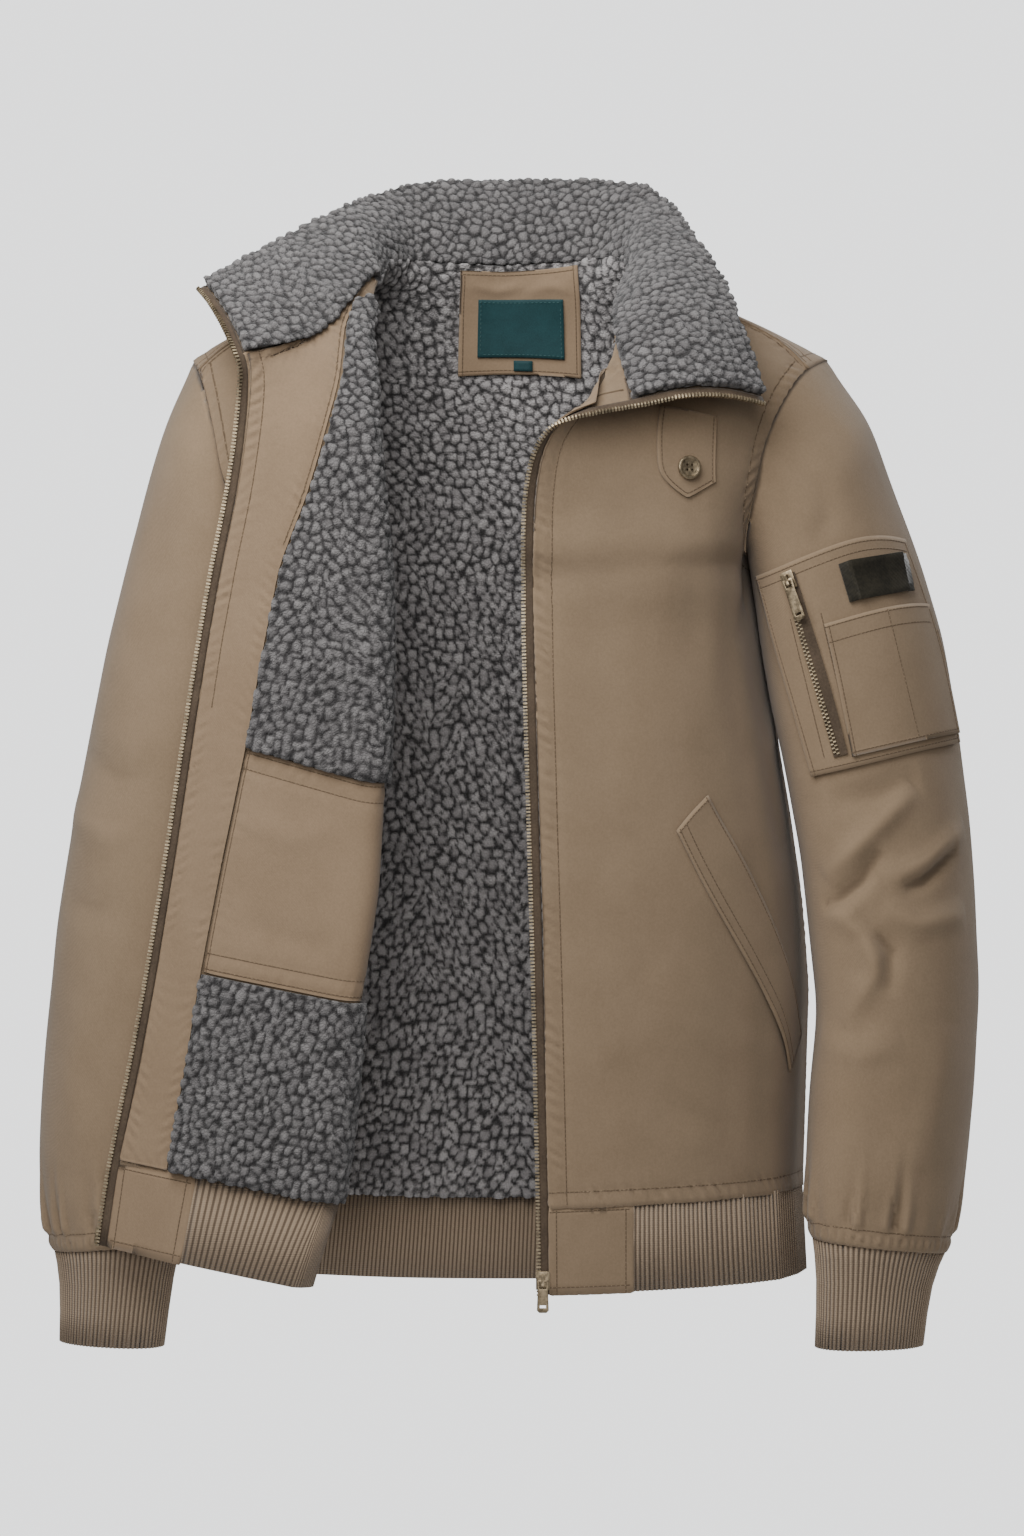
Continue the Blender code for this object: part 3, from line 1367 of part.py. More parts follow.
def make_sleeve_trim(sheet):
    """Utility panel, patch pocket, badge and zip of the left sleeve."""
    panel = patch("sleeve_panel", sheet, SLEEVE_PANEL, PANEL_COLS, PANEL_ROWS,
                  TRIM_LIFT, PANEL_THICK, TWILL)
    patch("sleeve_pocket", panel, on_panel(SLEEVE_POCKET), 6, 3, STACK_LIFT, POCKET_THICK, TWILL)
    make_badge(panel)
    patch("sleeve_zip_tape", panel, on_panel(SLEEVE_TAPE), 2, 6, STACK_LIFT, SLEEVE_TAPE_THICK, TAPE_TAN)
    grid, normals = panel
    r, c = on_panel((SLEEVE_SLIDER,))[0]
    point, normal = on_sheet(grid, normals, r, c, 0.0)
    ahead = on_sheet(grid, normals, r + 1.2, c, 0.0)[0]
    along = (ahead - point).normalized()
    across = along.cross(normal).normalized()
    out = across.cross(along).normalized()
    if out.dot(normal) < 0:
        out = -out
    rise = STACK_LIFT + SLEEVE_TAPE_THICK + SLEEVE_SLIDER_LIFT - SLIDER_SLOT / 2
    axis = make_slider("sleeve_slider", point + out * rise, (across, along, out), False)
    down, face = hanging(across, out)
    make_pull("sleeve_pull", axis, (across, down, face), SLEEVE_PULL_LENGTH)


def column_at(grid, r, x):
    """Column of the back sheet that lies at a distance x from the middle, in a row."""
    i = int(r)
    line = [a.lerp(b, r - i).x for a, b in zip(grid[i], grid[i + 1])]
    c = NECK_FIRST_COL
    while line[c + 1] > x:
        c += 1
    return c + (line[c] - x) / (line[c] - line[c + 1])


def make_neck_trim(sheet):
    """Patch, blank label and tag inside the back neck."""
    depth = LINING_TOP + SHERPA + TRIM_LIFT
    label_depth = depth + NECK_PATCH_THICK + LABEL_LIFT
    plan = (
        ("neck_patch", depth, NECK_PATCH_THICK, TWILL_INSIDE),
        ("neck_label", label_depth, LABEL_THICK, LABEL_TEAL),
        ("neck_tag", label_depth, LABEL_THICK, LABEL_TEAL),
    )
    for name, down, thick, look in plan:
        top, bottom, right_x, left_x, across, along = NECK_TRIM[name]
        places = []
        for v in steps(along):
            r = top + (bottom - top) * v
            xs = [right_x + (left_x - right_x) * u for u in steps(across)]
            places.append([(r, column_at(sheet[0], r, x)) for x in xs])
        laid(name, sheet, places, -down, -thick, look)


def make_main_zip(left, left_normals, right, right_normals, collar, collar_normals):
    """Tapes of the front zip, its slider, pull and end pin."""
    wide = len(right[0]) - 1
    make_tape("zip_tape_right", right, right_normals, wide, collar, collar_normals, 0)
    end = len(left[0]) - 1
    make_tape("zip_tape_left", left, left_normals, end, collar, collar_normals, len(collar[0]) - 1)
    edge = left[0][end] + (left[1][end] - left[0][end]) * SLIDER_UP_SHARE
    middle = edge - left_normals[0][end] * (TAPE_DEPTH + TAPE_THICK / 2)
    across = Vector((1.0, 0.0, 0.0))
    along = Vector((0.0, 0.0, -1.0))
    out = Vector((0.0, -1.0, 0.0))
    inward = SLIDER_WIDTH / 2 - TAPE_START - TAPE_WIDTH - SLIDER_GAP - SLIDER_CORE
    centre = Vector((middle.x + inward, middle.y, middle.z))
    axis = make_slider("zip_slider", centre, (across, along, out), True)
    make_pull("zip_pull", axis, (across, along, out), PULL_LENGTH)
    edge = right[0][wide]
    up = (right[1][wide] - edge).normalized()
    out = (edge - right[0][wide - 1]).normalized()
    normal = right_normals[0][wide]
    spot = edge + out * (TAPE_START + TAPE_WIDTH + PIN_OUT) + up * PIN_UP
    spot = spot - normal * (TAPE_DEPTH + TAPE_THICK / 2)
    size = (PIN_WIDTH, PIN_LENGTH, PIN_WIDTH)
    box("zip_pin", size, spot, (up.cross(normal).normalized(), up, normal), BRASS)


def clear_scene():
    """Start from an empty scene with one collection."""
    for thing in list(bpy.data.objects):
        bpy.data.objects.remove(thing)
    jacket = bpy.data.collections.new("jacket")
    bpy.context.scene.collection.children.link(jacket)
    guides = bpy.data.collections.new("guides")
    bpy.context.scene.collection.children.link(guides)


def main():
    clear_scene()
    left, left_n, back, back_n, right, right_n, collar, collar_n, sleeves = make_shell()
    make_band(left, left_n, back, right)
    make_cuff("cuff_left", CUFF_LEFT, (1, 0, 0))
    make_cuff("cuff_right", CUFF_RIGHT, (-1, 0, 0))
    make_main_zip(left, left_n, right, right_n, collar, collar_n)
    sleeve = sleeves[0][1:]
    make_sleeve_trim(sleeve)
    make_tab((left, left_n))
    patch("welt_left", (left, left_n), WELT_LEFT, 2, 7, TRIM_LIFT, CLOTH, TWILL)
    patch("welt_right", (right, right_n), WELT_RIGHT, 2, 7, TRIM_LIFT, CLOTH, TWILL)
    make_neck_trim((back, back_n))


main()
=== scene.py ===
"""Looks of a sherpa lined jacket: cloth, pile, rib knit, zips and stitching, with stage and camera.

The wearer's left is +X, the back is +Y and up is +Z, in metres. Sizes in the tables are millimetres.
"""
import itertools
import math

import bmesh
import bpy
import numpy as np
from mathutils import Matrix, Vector
from mathutils.bvhtree import BVHTree
from mathutils.kdtree import KDTree


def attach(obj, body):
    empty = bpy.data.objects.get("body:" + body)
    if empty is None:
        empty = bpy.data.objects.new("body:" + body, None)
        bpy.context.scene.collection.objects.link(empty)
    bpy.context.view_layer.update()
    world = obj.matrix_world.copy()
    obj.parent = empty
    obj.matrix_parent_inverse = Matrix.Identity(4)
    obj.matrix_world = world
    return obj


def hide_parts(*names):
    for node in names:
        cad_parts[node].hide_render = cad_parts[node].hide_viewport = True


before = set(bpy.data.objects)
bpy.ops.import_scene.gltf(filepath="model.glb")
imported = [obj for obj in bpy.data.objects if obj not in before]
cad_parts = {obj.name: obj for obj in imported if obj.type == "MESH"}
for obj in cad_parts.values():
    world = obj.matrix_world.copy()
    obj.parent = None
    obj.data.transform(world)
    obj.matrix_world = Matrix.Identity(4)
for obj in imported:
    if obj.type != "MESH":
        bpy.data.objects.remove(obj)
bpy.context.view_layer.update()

MM = 0.001
TURN = 2 * math.pi
BODY = "jacket"

# camera and stage
CAMERA_PLACE = (-0.0054, -3.5, -0.349)
CAMERA_LENS = 80.43
SENSOR_HEIGHT = 24.0
FLOOR_Z = -1.05
STAGE_HALF = 1.06
BACKDROP_TINT = (0.985, 0.992, 1.0, 1)
BACKDROP_GLOW = 1.95
ROOM_TINT = (0.97, 0.985, 1.0, 1)
ROOM_GLOW = 0.2
LIGHT_AIM = (0.0, 0.0, -0.35)

# cloth: the side that shows is the one away from a node, the larger one, or both where none is named
CLOTH_PLAN = (
    # node, wall, level, tallest cell before dividing, seen away from, finish
    ("front_left", 1.6, 3, 22.0, "facing_left", "twill"),
    ("front_right", 1.6, 3, 40.0, "facing_right", "twill"),
    ("back", 1.6, 3, 40.0, "lining_back", "twill"),
    ("sleeve_left", 1.6, 3, 32.0, "larger", "twill"),
    ("sleeve_right", 1.6, 3, 60.0, "larger", "twill"),
    ("collar_shell", 1.6, 3, 0, "collar_lining", "twill"),
    ("facing_left", 1.5, 3, 22.0, "front_left", "facing_twill"),
    ("facing_right", 1.5, 3, 22.0, "front_right", "facing_twill"),
    ("inner_pocket", 1.5, 3, 22.0, "front_right", "facing_twill"),
    ("hem_tab_left", 2.0, 3, 0, None, "twill"),
    ("hem_tab_right", 2.0, 3, 0, None, "facing_twill"),
    ("welt_left", 1.6, 3, 0, "front_left", "twill"),
    ("welt_right", 1.6, 3, 0, "front_right", "twill"),
    ("button_tab", 1.6, 3, 0, "front_left", "twill"),
    ("sleeve_panel", 1.2, 3, 0, "sleeve_left", "twill"),
    ("sleeve_pocket", 1.4, 3, 0, "sleeve_panel", "twill"),
    ("neck_patch", 1.2, 3, 0, "lining_back", "facing_twill"),
    ("neck_label", 0.8, 3, 0, "neck_patch", "label"),
    ("neck_tag", 0.8, 2, 0, None, "label"),
)
PILE_PLAN = (
    # node, wall, level, tallest cell before dividing, seen away from, what presses it flat
    ("lining_back", 4.7, 3, 19.0, "back", ("neck_patch",)),
    ("lining_right_upper", 4.7, 3, 14.0, "front_right", ()),
    ("lining_right_lower", 4.7, 3, 12.0, "front_right", ("inner_pocket",)),
    ("collar_lining", 4.7, 3, 15.0, "collar_shell", ()),
)

# how the edges of a cloth wall are told from its sides: shares of the wall, slope, and turns in degrees
WALL_SHORTEST = 0.8
WALL_LONGEST = 1.35
WALL_SLOPE = 0.12
RIM_TURN = 55.0
SHARP_TURN = 85.0
QUAD_TURN = 70.0
MERGE = 0.01
TINY = 1e-6

# lines laid on cloth: their step, how far from one it is still felt, and how far off the lines of sight start
RUN_STEP = 4.0
RUN_REACH = 60.0
FAR = 1e9
SIGHT = 900.0

# hung cloth: slow and quick unevenness, how its hollows are measured, and how its rims are moved
SLOW_SWELL = 0.9
SLOW_SIZE = (70, 70, 110)
QUICK_SWELL = 0.45
QUICK_SIZE = (26, 26, 38)
THICK_CLOTH = 1.55
THIN_SWELL = 0.35
FOLD_ENDS = 0.6
DOWN_FROM = 0.3
DOWN_FULL = 0.7
MOST_HOLLOW = 1.5
HOLLOW_ROUNDS = 3
RIM_STEP = 2.0
SIDE_TEST = 6.0
LARGE = ("front_left", "front_right", "back", "sleeve_left", "sleeve_right", "collar_shell", "facing_left",
         "facing_right", "inner_pocket")
RIM_GROWTH = {**dict.fromkeys(LARGE, 0.7), "hem_tab_left": 0.9, "hem_tab_right": 1.1}
RIM_REACH = 3.0
RIM_DROP = 0.45
RIM_EASE = 2.5
DEEPEST = {"collar_shell": 0.8}

# puckers by height and pitch: at a small and a large piece's seams, and in the strip turned in along a zip
SEAM_PUCKER = (0.15, 10.0)
LARGE_PUCKER = (0.6, 10.0)
PUCKER_REACH = 10.0
PUCKER_HELD = 4.0
PUCKER_DRIFT = 2.2
PUCKER_LEAN = 0.35
PUCKER_FADE = 1.3
ZIP_PUCKER = (0.62, 8.0)
ZIP_REACH = 400.0
ZIP_SLANT = 2.2
ZIP_EDGED = {"front_left": 11.5, "front_right": 11.5, "facing_left": 9.0, "facing_right": 9.0,
             "hem_tab_left": 4.5, "hem_tab_right": 4.5}
SEAM_DEPTH = 0.45
SEAM_WIDE = 3.4

# sleeves eased into their cuffs: the band at the seam, folds above it and tucks in it by height and pitch
GATHERS = ("sleeve_left", "sleeve_right")
SLEEVE_BAND = 8.0
CUFF_FOLD = (2.8, 15.0)
CUFF_TUCK = (0.65, 6.0)
CUFF_DRIFT = 1.8
CUFF_DRIFT_SIZE = 22.0
CUFF_SIZE = 13.0
CUFF_START = 5.0
CUFF_REACH = 16.0
# cloth that blouses over a rib band: reach, how steeply it fades, rise and drop
BLOUSED = {**dict.fromkeys(GATHERS, (11.0, 2, 1.4, 2.2)),
           **dict.fromkeys(("front_left", "front_right", "back"), (2.5, 1, 0.9, 1.6))}

# sherpa pile: nubs, the crevices and crumbs between them, and where it stays flat
CURL_PITCH = 6.3
CURL_RISE = 2.7
CURL_SPREAD = 0.45
CURL_CLOSEST = 0.86
CURL_ROUND = 0.68
CURL_BEND = 4.2
CURL_WANDER = 1.7
DOME_SHARE = 0.6
CREVICE_WIDE = 2.9
CRUMB_SIZE = 1.9
CRUMB_RISE = 0.22
BACK_FACING = 0.25
PRESSED_REACH = 3.2
PRESSED_EASE = 3.5

# stitches, shaped by shares along, across and up, and the low dark strip of painted shade laid where they pull
# a channel into the cloth
STITCH_LENGTH = 2.0
STITCH_PITCH = 3.0
STITCH_WIDE = 0.85
STITCH_HIGH = 0.5
STITCH_SUNK = 0.12
STITCH_SHORTEST = 0.5
STITCH_LONGEST = 4.8
STITCH_SHAPE = ((-1.0, 0.4, 0.2), (0.0, 1.0, 1.0), (1.0, 0.4, 0.2))
CHANNEL_WIDE = 1.3
CHANNEL_HIGH = 0.24
CHANNEL_SUNK = 0.15
CHANNEL_STEP = 2.2

# rib knit: edges longer than one length run along a rib, those shorter than the other go across it; faces
# smaller than the cap's area lie in its rims
RIB_LONG = 20.0
RIB_SHORT = 3.2
RIB_WALL = 2.6
RIB_SLACK = 0.02
RIB_CAP = 30.0
RIB_ROUND = 0.22
RIB_CORNER = 80.0
RIB_FEWEST = 20

# zips: the pitch of their teeth, and a tooth's size along the tape, across it and out of it, with the share
# left at its top, on the open front zip and on the closed sleeve zip
TAPE_WALL = 1.0
TOOTH_PITCH = 2.3
TOOTH = (1.2, 2.9, 2.8, 0.6)
TOOTH_WAIST = 0.6
SQUARE = ((-1, -1), (1, -1), (1, 1), (-1, 1))
TOOTH_IN = 0.4
TOOTH_DOWN = 1.4
CLOSED_STEP = 1.4
CLOSED_PITCH = 1.35
CLOSED_TOOTH = (1.25, 2.6, 1.6, 0.72)
CLOSED_OUT = 0.9
CLOSED_SIDE = 1.0
SLEEVE_TEETH = ((180.0, -232.0), (190.5, -270.0), (202.0, -310.0), (211.0, -341.0))

# small solid parts: how wide their edges are softened, from what angle, and below what angle they look smooth
METAL_EDGE = 0.25
SOFTENED_FROM = 40.0
SMOOTH_BELOW = 38.0

# finishes: the pitch of the twill's diagonal lines and of the knit's courses
TWILL_PITCH = 0.95
COURSE_PITCH = 1.5

# name, kind, power, size in metres or degrees, place
LIGHTS = (
    ("soft_box", "AREA", 23.5, 1.1, (-0.42, -0.82, 0.56)),
    ("front_fill", "SUN", 0.6, 25, (0.1, -3.0, 0.3)),
    ("back_fill", "SUN", 1.25, 20, (1.9, 2.0, 1.0)),
)


# ---------------------------------------------------------------- numbers over a surface


def points_of(mesh):
    """Vertex places in millimetres and their normals."""
    count = len(mesh.vertices)
    places = np.empty(count * 3)
    normals = np.empty(count * 3)
    mesh.vertices.foreach_get("co", places)
    mesh.vertex_normals.foreach_get("vector", normals)
    return places.reshape(-1, 3) / MM, normals.reshape(-1, 3)


def put_points(mesh, places):
    """Set the vertex places from millimetres."""
    mesh.vertices.foreach_set("co", (places * MM).ravel())
    mesh.update()


def store(mesh, name, values):
    """Keep one number for each vertex for the finishes to read."""
    layer = mesh.attributes.new(name, "FLOAT", "POINT")
    layer.data.foreach_set("value", np.asarray(values, dtype=np.float32))


def smooth_step(share):
    """Ease a share from 0 to 1 in and out."""
    return share * share * (3 - 2 * share)


def unit(way):
    """A direction made one long."""
    return way / max(np.linalg.norm(way), TINY)


def hashed(cells, seed):
    """Repeatable number from 0 to 1 for each whole-number cell."""
    mixed = cells[:, 0] * 73856093 ^ cells[:, 1] * 19349663 ^ cells[:, 2] * 83492791 ^ (seed * 2654435761)
    mixed = (mixed ^ (mixed >> 13)) * 1274126177 & 0xFFFFFFFF
    mixed = (mixed ^ (mixed >> 16)) * 2246822519 & 0xFFFFFFFF
    return (mixed & 0xFFFF) / 65535.0


def soft_noise(places, size, seed):
    """Smooth noise from -1 to 1, with cells of the given size along each axis."""
    scaled = places / np.asarray(size, dtype=float)
    base = np.floor(scaled).astype(np.int64)
    part = scaled - base
    ease = smooth_step(part)
    total = np.zeros(len(places))
    for corner in itertools.product((0, 1), repeat=3):
        weight = np.abs(1 - np.array(corner) - ease).prod(axis=1)
        total += weight * hashed(base + np.array(corner), seed)
    return total * 2 - 1


def noise_along(along, size, seed):
    """Smooth noise from -1 to 1 over distances along a line."""
    spot = np.stack([along, np.zeros(len(along)), np.zeros(len(along))], axis=1)
    return soft_noise(spot, (size, 1, 1), seed)


def tree_of(points):
    """Search tree over points, which answers with their numbers."""
    tree = KDTree(len(points))
    for i, point in enumerate(points):
        tree.insert(point, i)
    tree.balance()
    return tree


# ---------------------------------------------------------------- cloth walls


def show_only(piece):
    """Make one object the selected and active one."""
    bpy.ops.object.select_all(action="DESELECT")
    piece.select_set(True)
    bpy.context.view_layer.objects.active = piece


def merge_points():
    """Merge the picked points that lie in one place."""
    bpy.ops.mesh.remove_doubles(threshold=MERGE * MM)


def join_triangles():
    """Join the picked triangles in pairs."""
    turn = math.radians(QUAD_TURN)
    bpy.ops.mesh.tris_convert_to_quads(face_threshold=turn, shape_threshold=turn)


def edit(piece, *steps):
    """Take steps in edit mode with all of a piece picked."""
    show_only(piece)
    bpy.ops.object.mode_set(mode="EDIT")
    bpy.ops.mesh.select_all(action="SELECT")
    for step in steps:
        step()
    bpy.ops.mesh.select_all(action="DESELECT")
    bpy.ops.object.mode_set(mode="OBJECT")


def copy_of(node, *steps):
    """Merged copy of a CAD node, named as a piece of its own, after further steps in edit mode."""
    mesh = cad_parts[node].data.copy()
    mesh.name = node + "_made"
    mesh.materials.clear()
    piece = bpy.data.objects.new(node + "_made", mesh)
    bpy.context.scene.collection.objects.link(piece)
    edit(piece, merge_points, *steps)
    bpy.ops.mesh.customdata_custom_splitnormals_clear()
    return piece


def wall_faces(form, wall):
    """Faces of the thin edge round a cloth wall: those with upright edges, and narrow ones at a sharp turn."""
    low = wall * WALL_SHORTEST * MM
    high = wall * WALL_LONGEST * MM
    upright = set()
    for edge in form.edges:
        length = edge.calc_length()
        if low < length < high:
            along = (edge.verts[1].co - edge.verts[0].co) / length
            if min(abs(along.dot(v.normal)) for v in edge.verts) > WALL_SLOPE:
                upright.add(edge)
    walls = {face for face in form.faces if any(edge in upright for edge in face.edges)}
    for face in form.faces:
        across = face.calc_area() / max(edge.calc_length() for edge in face.edges)
        if across < high and any(turns_by(edge, SHARP_TURN) for edge in face.edges):
            walls.add(face)
    return walls


def turns_by(edge, degrees):
    """Whether the surface turns by more than an angle at an edge."""
    return len(edge.link_faces) == 2 and edge.calc_face_angle() > math.radians(degrees)


def reform(piece, change, *given):
    """Change a piece through its bmesh form."""
    form = bmesh.new()
    form.from_mesh(piece.data)
    change(form, *given)
    form.to_mesh(piece.data)
    form.free()


def crease_of(form):
    """The layer that holds how sharp each edge stays."""
    return form.edges.layers.float.get("crease_edge") or form.edges.layers.float.new("crease_edge")


def all_shown(piece):
    """Give every face the piece's one finish."""
    piece.data.polygons.foreach_set("material_index", [0] * len(piece.data.polygons))


def sides_of(form, walls):
    """The two sides of a cloth wall, as lists of faces, the larger first."""
    left = {face for face in form.faces if face not in walls}
    sides = []
    for start in form.faces:
        if start not in left:
            continue
        left.discard(start)
        side = [start]
        for found in side:
            for face in (face for edge in found.edges for face in edge.link_faces):
                if face in left:
                    left.discard(face)
                    side.append(face)
        sides.append(side)
    sides.sort(key=lambda side: -sum(face.calc_area() for face in side))
    return sides


def distance_to_node(faces, node):
    """Mean distance from faces to the vertices of a CAD node."""
    tree = tree_of([vertex.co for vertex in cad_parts[node].data.vertices])
    points = dict.fromkeys(v for face in faces for v in face.verts)
    return sum(tree.find(v.co)[2] for v in points) / len(points)


def rim_stretches(form, walls, seen):
    """Mark the rim: crease it, hold its corners, and number its stretches on the side that shows."""
    crease = crease_of(form)
    number = form.edges.layers.int.new("stretch")
    seen = set(seen)
    rim = [e for e in form.edges if len(e.link_faces) == 2 and sum(f in walls for f in e.link_faces) == 1]
    at = {}
    for edge in rim:
        edge[crease] = 1.0
        for v in edge.verts:
            at.setdefault(v, []).append(edge)
    corners = set()
    for v, edges in at.items():
        if len(edges) != 2:
            corners.add(v)
            continue
        one = edges[0].other_vert(v).co - v.co
        two = edges[1].other_vert(v).co - v.co
        if 180 - math.degrees(one.angle(two)) > RIM_TURN:
            corners.add(v)
    for v in corners:
        for edge in v.link_edges:
            if all(face in walls for face in edge.link_faces):
                edge[crease] = 1.0
    left = {e for e in rim if any(f in seen for f in e.link_faces)}
    count = 0
    for start in rim:
        if start not in left:
            continue
        left.discard(start)
        count += 1
        start[number] = count
        queue = list(start.verts)
        while queue:
            v = queue.pop()
            if v in corners:
                continue
            for edge in at[v]:
                if edge in left:
                    left.discard(edge)
                    edge[number] = count
                    queue.append(edge.other_vert(v))


def halve_rows(form, longest_cell):
    """Split rows of faces that are too tall, so that the divided cells come out about square."""
    for _ in range(2):
        left = set(form.edges)
        rings = []
        for start in form.edges:
            if start not in left:
                continue
            left.discard(start)
            ring = [start]
            for edge in ring:
                for face in edge.link_faces:
                    across = [e for e in face.edges if not set(e.verts) & set(edge.verts)]
                    if len(face.edges) == 4 and across and across[0] in left:
                        left.discard(across[0])
                        ring.append(across[0])
            rings.append(ring)
        tall = [ring for ring in rings if sum(e.calc_length() for e in ring) / len(ring) > longest_cell * MM]
        if not tall:
            break
        bmesh.ops.subdivide_edges(form, edges=[e for ring in tall for e in ring], cuts=1, use_grid_fill=True)


def divide(piece, level):
    """Subdivide a piece smoothly."""
    show_only(piece)
    smooth = piece.modifiers.new("smooth", "SUBSURF")
    smooth.levels = level
    smooth.render_levels = level
    bpy.ops.object.modifier_apply(modifier=smooth.name)
    bpy.ops.object.shade_smooth()


def chains_of(mesh):
    """Rim stretches of a divided piece as ordered runs of points, in millimetres."""
    numbers = np.empty(len(mesh.edges), dtype=np.int32)
    mesh.attributes["stretch"].data.foreach_get("value", numbers)
    chains = []
    for number in sorted(set(numbers[numbers > 0])):
        near = {}
        for i in np.nonzero(numbers == number)[0]:
            a, b = mesh.edges[i].vertices
            near.setdefault(a, []).append(b)
            near.setdefault(b, []).append(a)
        ends = [v for v, others in near.items() if len(others) == 1]
        start = min(ends) if ends else min(near)
        run = [start]
        before = None
        while True:
            step = [v for v in near[run[-1]] if v != before]
            if not step or step[0] == start:
                break
            before = run[-1]
            run.append(step[0])
        if not ends:
            run.append(start)
        chains.append(np.array([mesh.vertices[v].co for v in run]) / MM)
    return chains


def one_sided(form, wall, away, cell):
    """Leave the side of a wall that shows and the edge round it, or both sides if it lies away from none."""
    if cell:
        halve_rows(form, cell)
    walls = wall_faces(form, wall)
    sides = sides_of(form, walls)
    seen = sides[0]
    if away not in (None, "larger") and len(sides) > 1:
        seen = max(sides[:2], key=lambda side: distance_to_node(side, away))
    rim_stretches(form, walls, seen)
    for face in form.faces:
        face.material_index = 1
    for face in seen:
        face.material_index = 0
    if away is not None:
        hidden = [face for side in sides if side is not seen for face in side]
        bmesh.ops.delete(form, geom=hidden, context="FACES")


def cloth_from(node, wall, level, away, cell=0):
    """Fine cloth wall on a CAD node's form."""
    piece = copy_of(node, join_triangles)
    reform(piece, one_sided, wall, away, cell)
    divide(piece, level)
    return piece


# ---------------------------------------------------------------- lines on cloth


def spaced(line, pitch):
    """Points along a run at an even pitch."""
    line = np.asarray(line, dtype=float)
    lengths = np.linalg.norm(np.diff(line, axis=0), axis=1)
    along = np.concatenate(([0.0], np.cumsum(lengths)))
    count = max(2, int(along[-1] / pitch) + 1)
    marks = np.arange(count) * pitch
    marks = marks[marks <= along[-1]]
    return np.stack([np.interp(marks, along, line[:, i]) for i in range(3)], axis=1)


class Surface:
    """A finished piece of cloth that lines are laid on."""

    def __init__(self, piece):
        self.refresh(piece)
        self.chains = chains_of(piece.data)

    def refresh(self, piece):
        """Read the piece's shape again."""
        self.piece = piece
        form = bmesh.new()
        form.from_mesh(piece.data)
        bmesh.ops.delete(form, geom=[face for face in form.faces if face.material_index], context="FACES")
        self.tree = BVHTree.FromBMesh(form)
        form.free()

    def snap(self, point):
        """Nearest place and outward direction on the cloth."""
        place, normal, _, _ = self.tree.find_nearest(Vector(point) * MM)
        return np.array(place) / MM, np.array(normal)

    def seen_from(self, side, across, height):
        """Place where a line of sight from one side meets the cloth."""
        starts = {
            "front": ((across, -SIGHT, height), (0, 1, 0)),
            "back": ((across, SIGHT, height), (0, -1, 0)),
            "left": ((SIGHT, across, height), (-1, 0, 0)),
        }
        start, way = starts[side]
        place = self.tree.ray_cast(Vector(start) * MM, Vector(way))[0]
        return None if place is None else np.array(place) / MM

    def line(self, side, marks, pitch=RUN_STEP):
        """Run on the cloth through marks given as seen from one side."""
        marks = np.array([(a, 0.0, z) for a, z in marks], dtype=float)
        fine = spaced(marks, pitch)
        found = [self.seen_from(side, mark[0], mark[2]) for mark in fine]
        return np.array([place for place in found if place is not None])

    def edge(self, near, inset):
        """Run inside the rim stretch that passes nearest a point."""
        near = np.array(near, dtype=float)
        chain = min(self.chains, key=lambda run: np.linalg.norm(run - near, axis=1).min())
        run = spaced(chain, STITCH_PITCH)
        inward = self.ways_in(run)
        return np.array([self.snap(point + way * inset)[0] for point, way in zip(run, inward)])

    def ways_in(self, run):
        """Directions along the cloth that lead in from a run on its rim."""
        pairs = zip(run, np.gradient(run, axis=0))
        ways = np.array([unit(np.cross(self.snap(point)[1], tangent)) for point, tangent in pairs])
        middle = len(run) // 2
        off = []
        for step in (ways[middle] * SIDE_TEST, -ways[middle] * SIDE_TEST):
            spot = run[middle] + step
            off.append(np.linalg.norm(self.snap(spot)[0] - spot))
        return ways if off[0] < off[1] else -ways


def near_rim(surface, places):
    """Distance from each place to the rim, the way out there, and the distance along the rim."""
    runs = [spaced(chain, RIM_STEP) for chain in surface.chains]
    runs = [run for run in runs if len(run) > 3]
    tree = tree_of(np.concatenate(runs))
    outs = np.concatenate([-surface.ways_in(run) for run in runs])
    along = np.concatenate([np.arange(len(run)) * RIM_STEP for run in runs])
    found = [tree.find(place) for place in places]
    nearest = np.array([number for _, number, _ in found])
    gap = np.array([distance for _, _, distance in found])
    return gap, outs[nearest], along[nearest]


def distance_to_run(places, run):
    """Distance from places to a run, and how far along it the nearest point is, from 0 to 1."""
    gap = np.full(len(places), FAR)
    along = np.zeros(len(places))
    lengths = np.linalg.norm(np.diff(run, axis=0), axis=1)
    total = lengths.sum()
    low = run.min(axis=0) - RUN_REACH
    high = run.max(axis=0) + RUN_REACH
    near = np.nonzero((places > low).all(axis=1) & (places < high).all(axis=1))[0]
    local = places[near]
    best = gap[near]
    share = along[near]
    done = 0.0
    for start, end, length in zip(run[:-1], run[1:], lengths):
        if length < TINY:
            continue
        way = end - start
        part = np.clip(((local - start) @ way) / (length * length), 0, 1)
        off = np.linalg.norm(local - start - part[:, None] * way, axis=1)
        better = off < best
        best[better] = off[better]
        share[better] = (done + part[better] * length) / total
        done += length
    gap[near] = best
    along[near] = share
    return gap, along


# ---------------------------------------------------------------- folds and puckers


def fades(gap, reach):
    """1 at no distance, fading to nothing beyond a reach."""
    return np.exp(-(gap / reach) ** 2)


def fold(places, run, depth, width):
    """Height of one soft ridge, or trough if the depth is negative, that fades out at its ends."""
    gap, along = distance_to_run(places, run)
    ends = np.clip(np.sin(np.pi * np.clip(along, 0.0, 1.0)), 0, 1) ** FOLD_ENDS
    return depth * ends * fades(gap, width)


def groove(places, run, depth, width):
    """Height of the narrow channel that a row of stitching pulls in."""
    return -depth * fades(distance_to_run(places, run)[0], width)


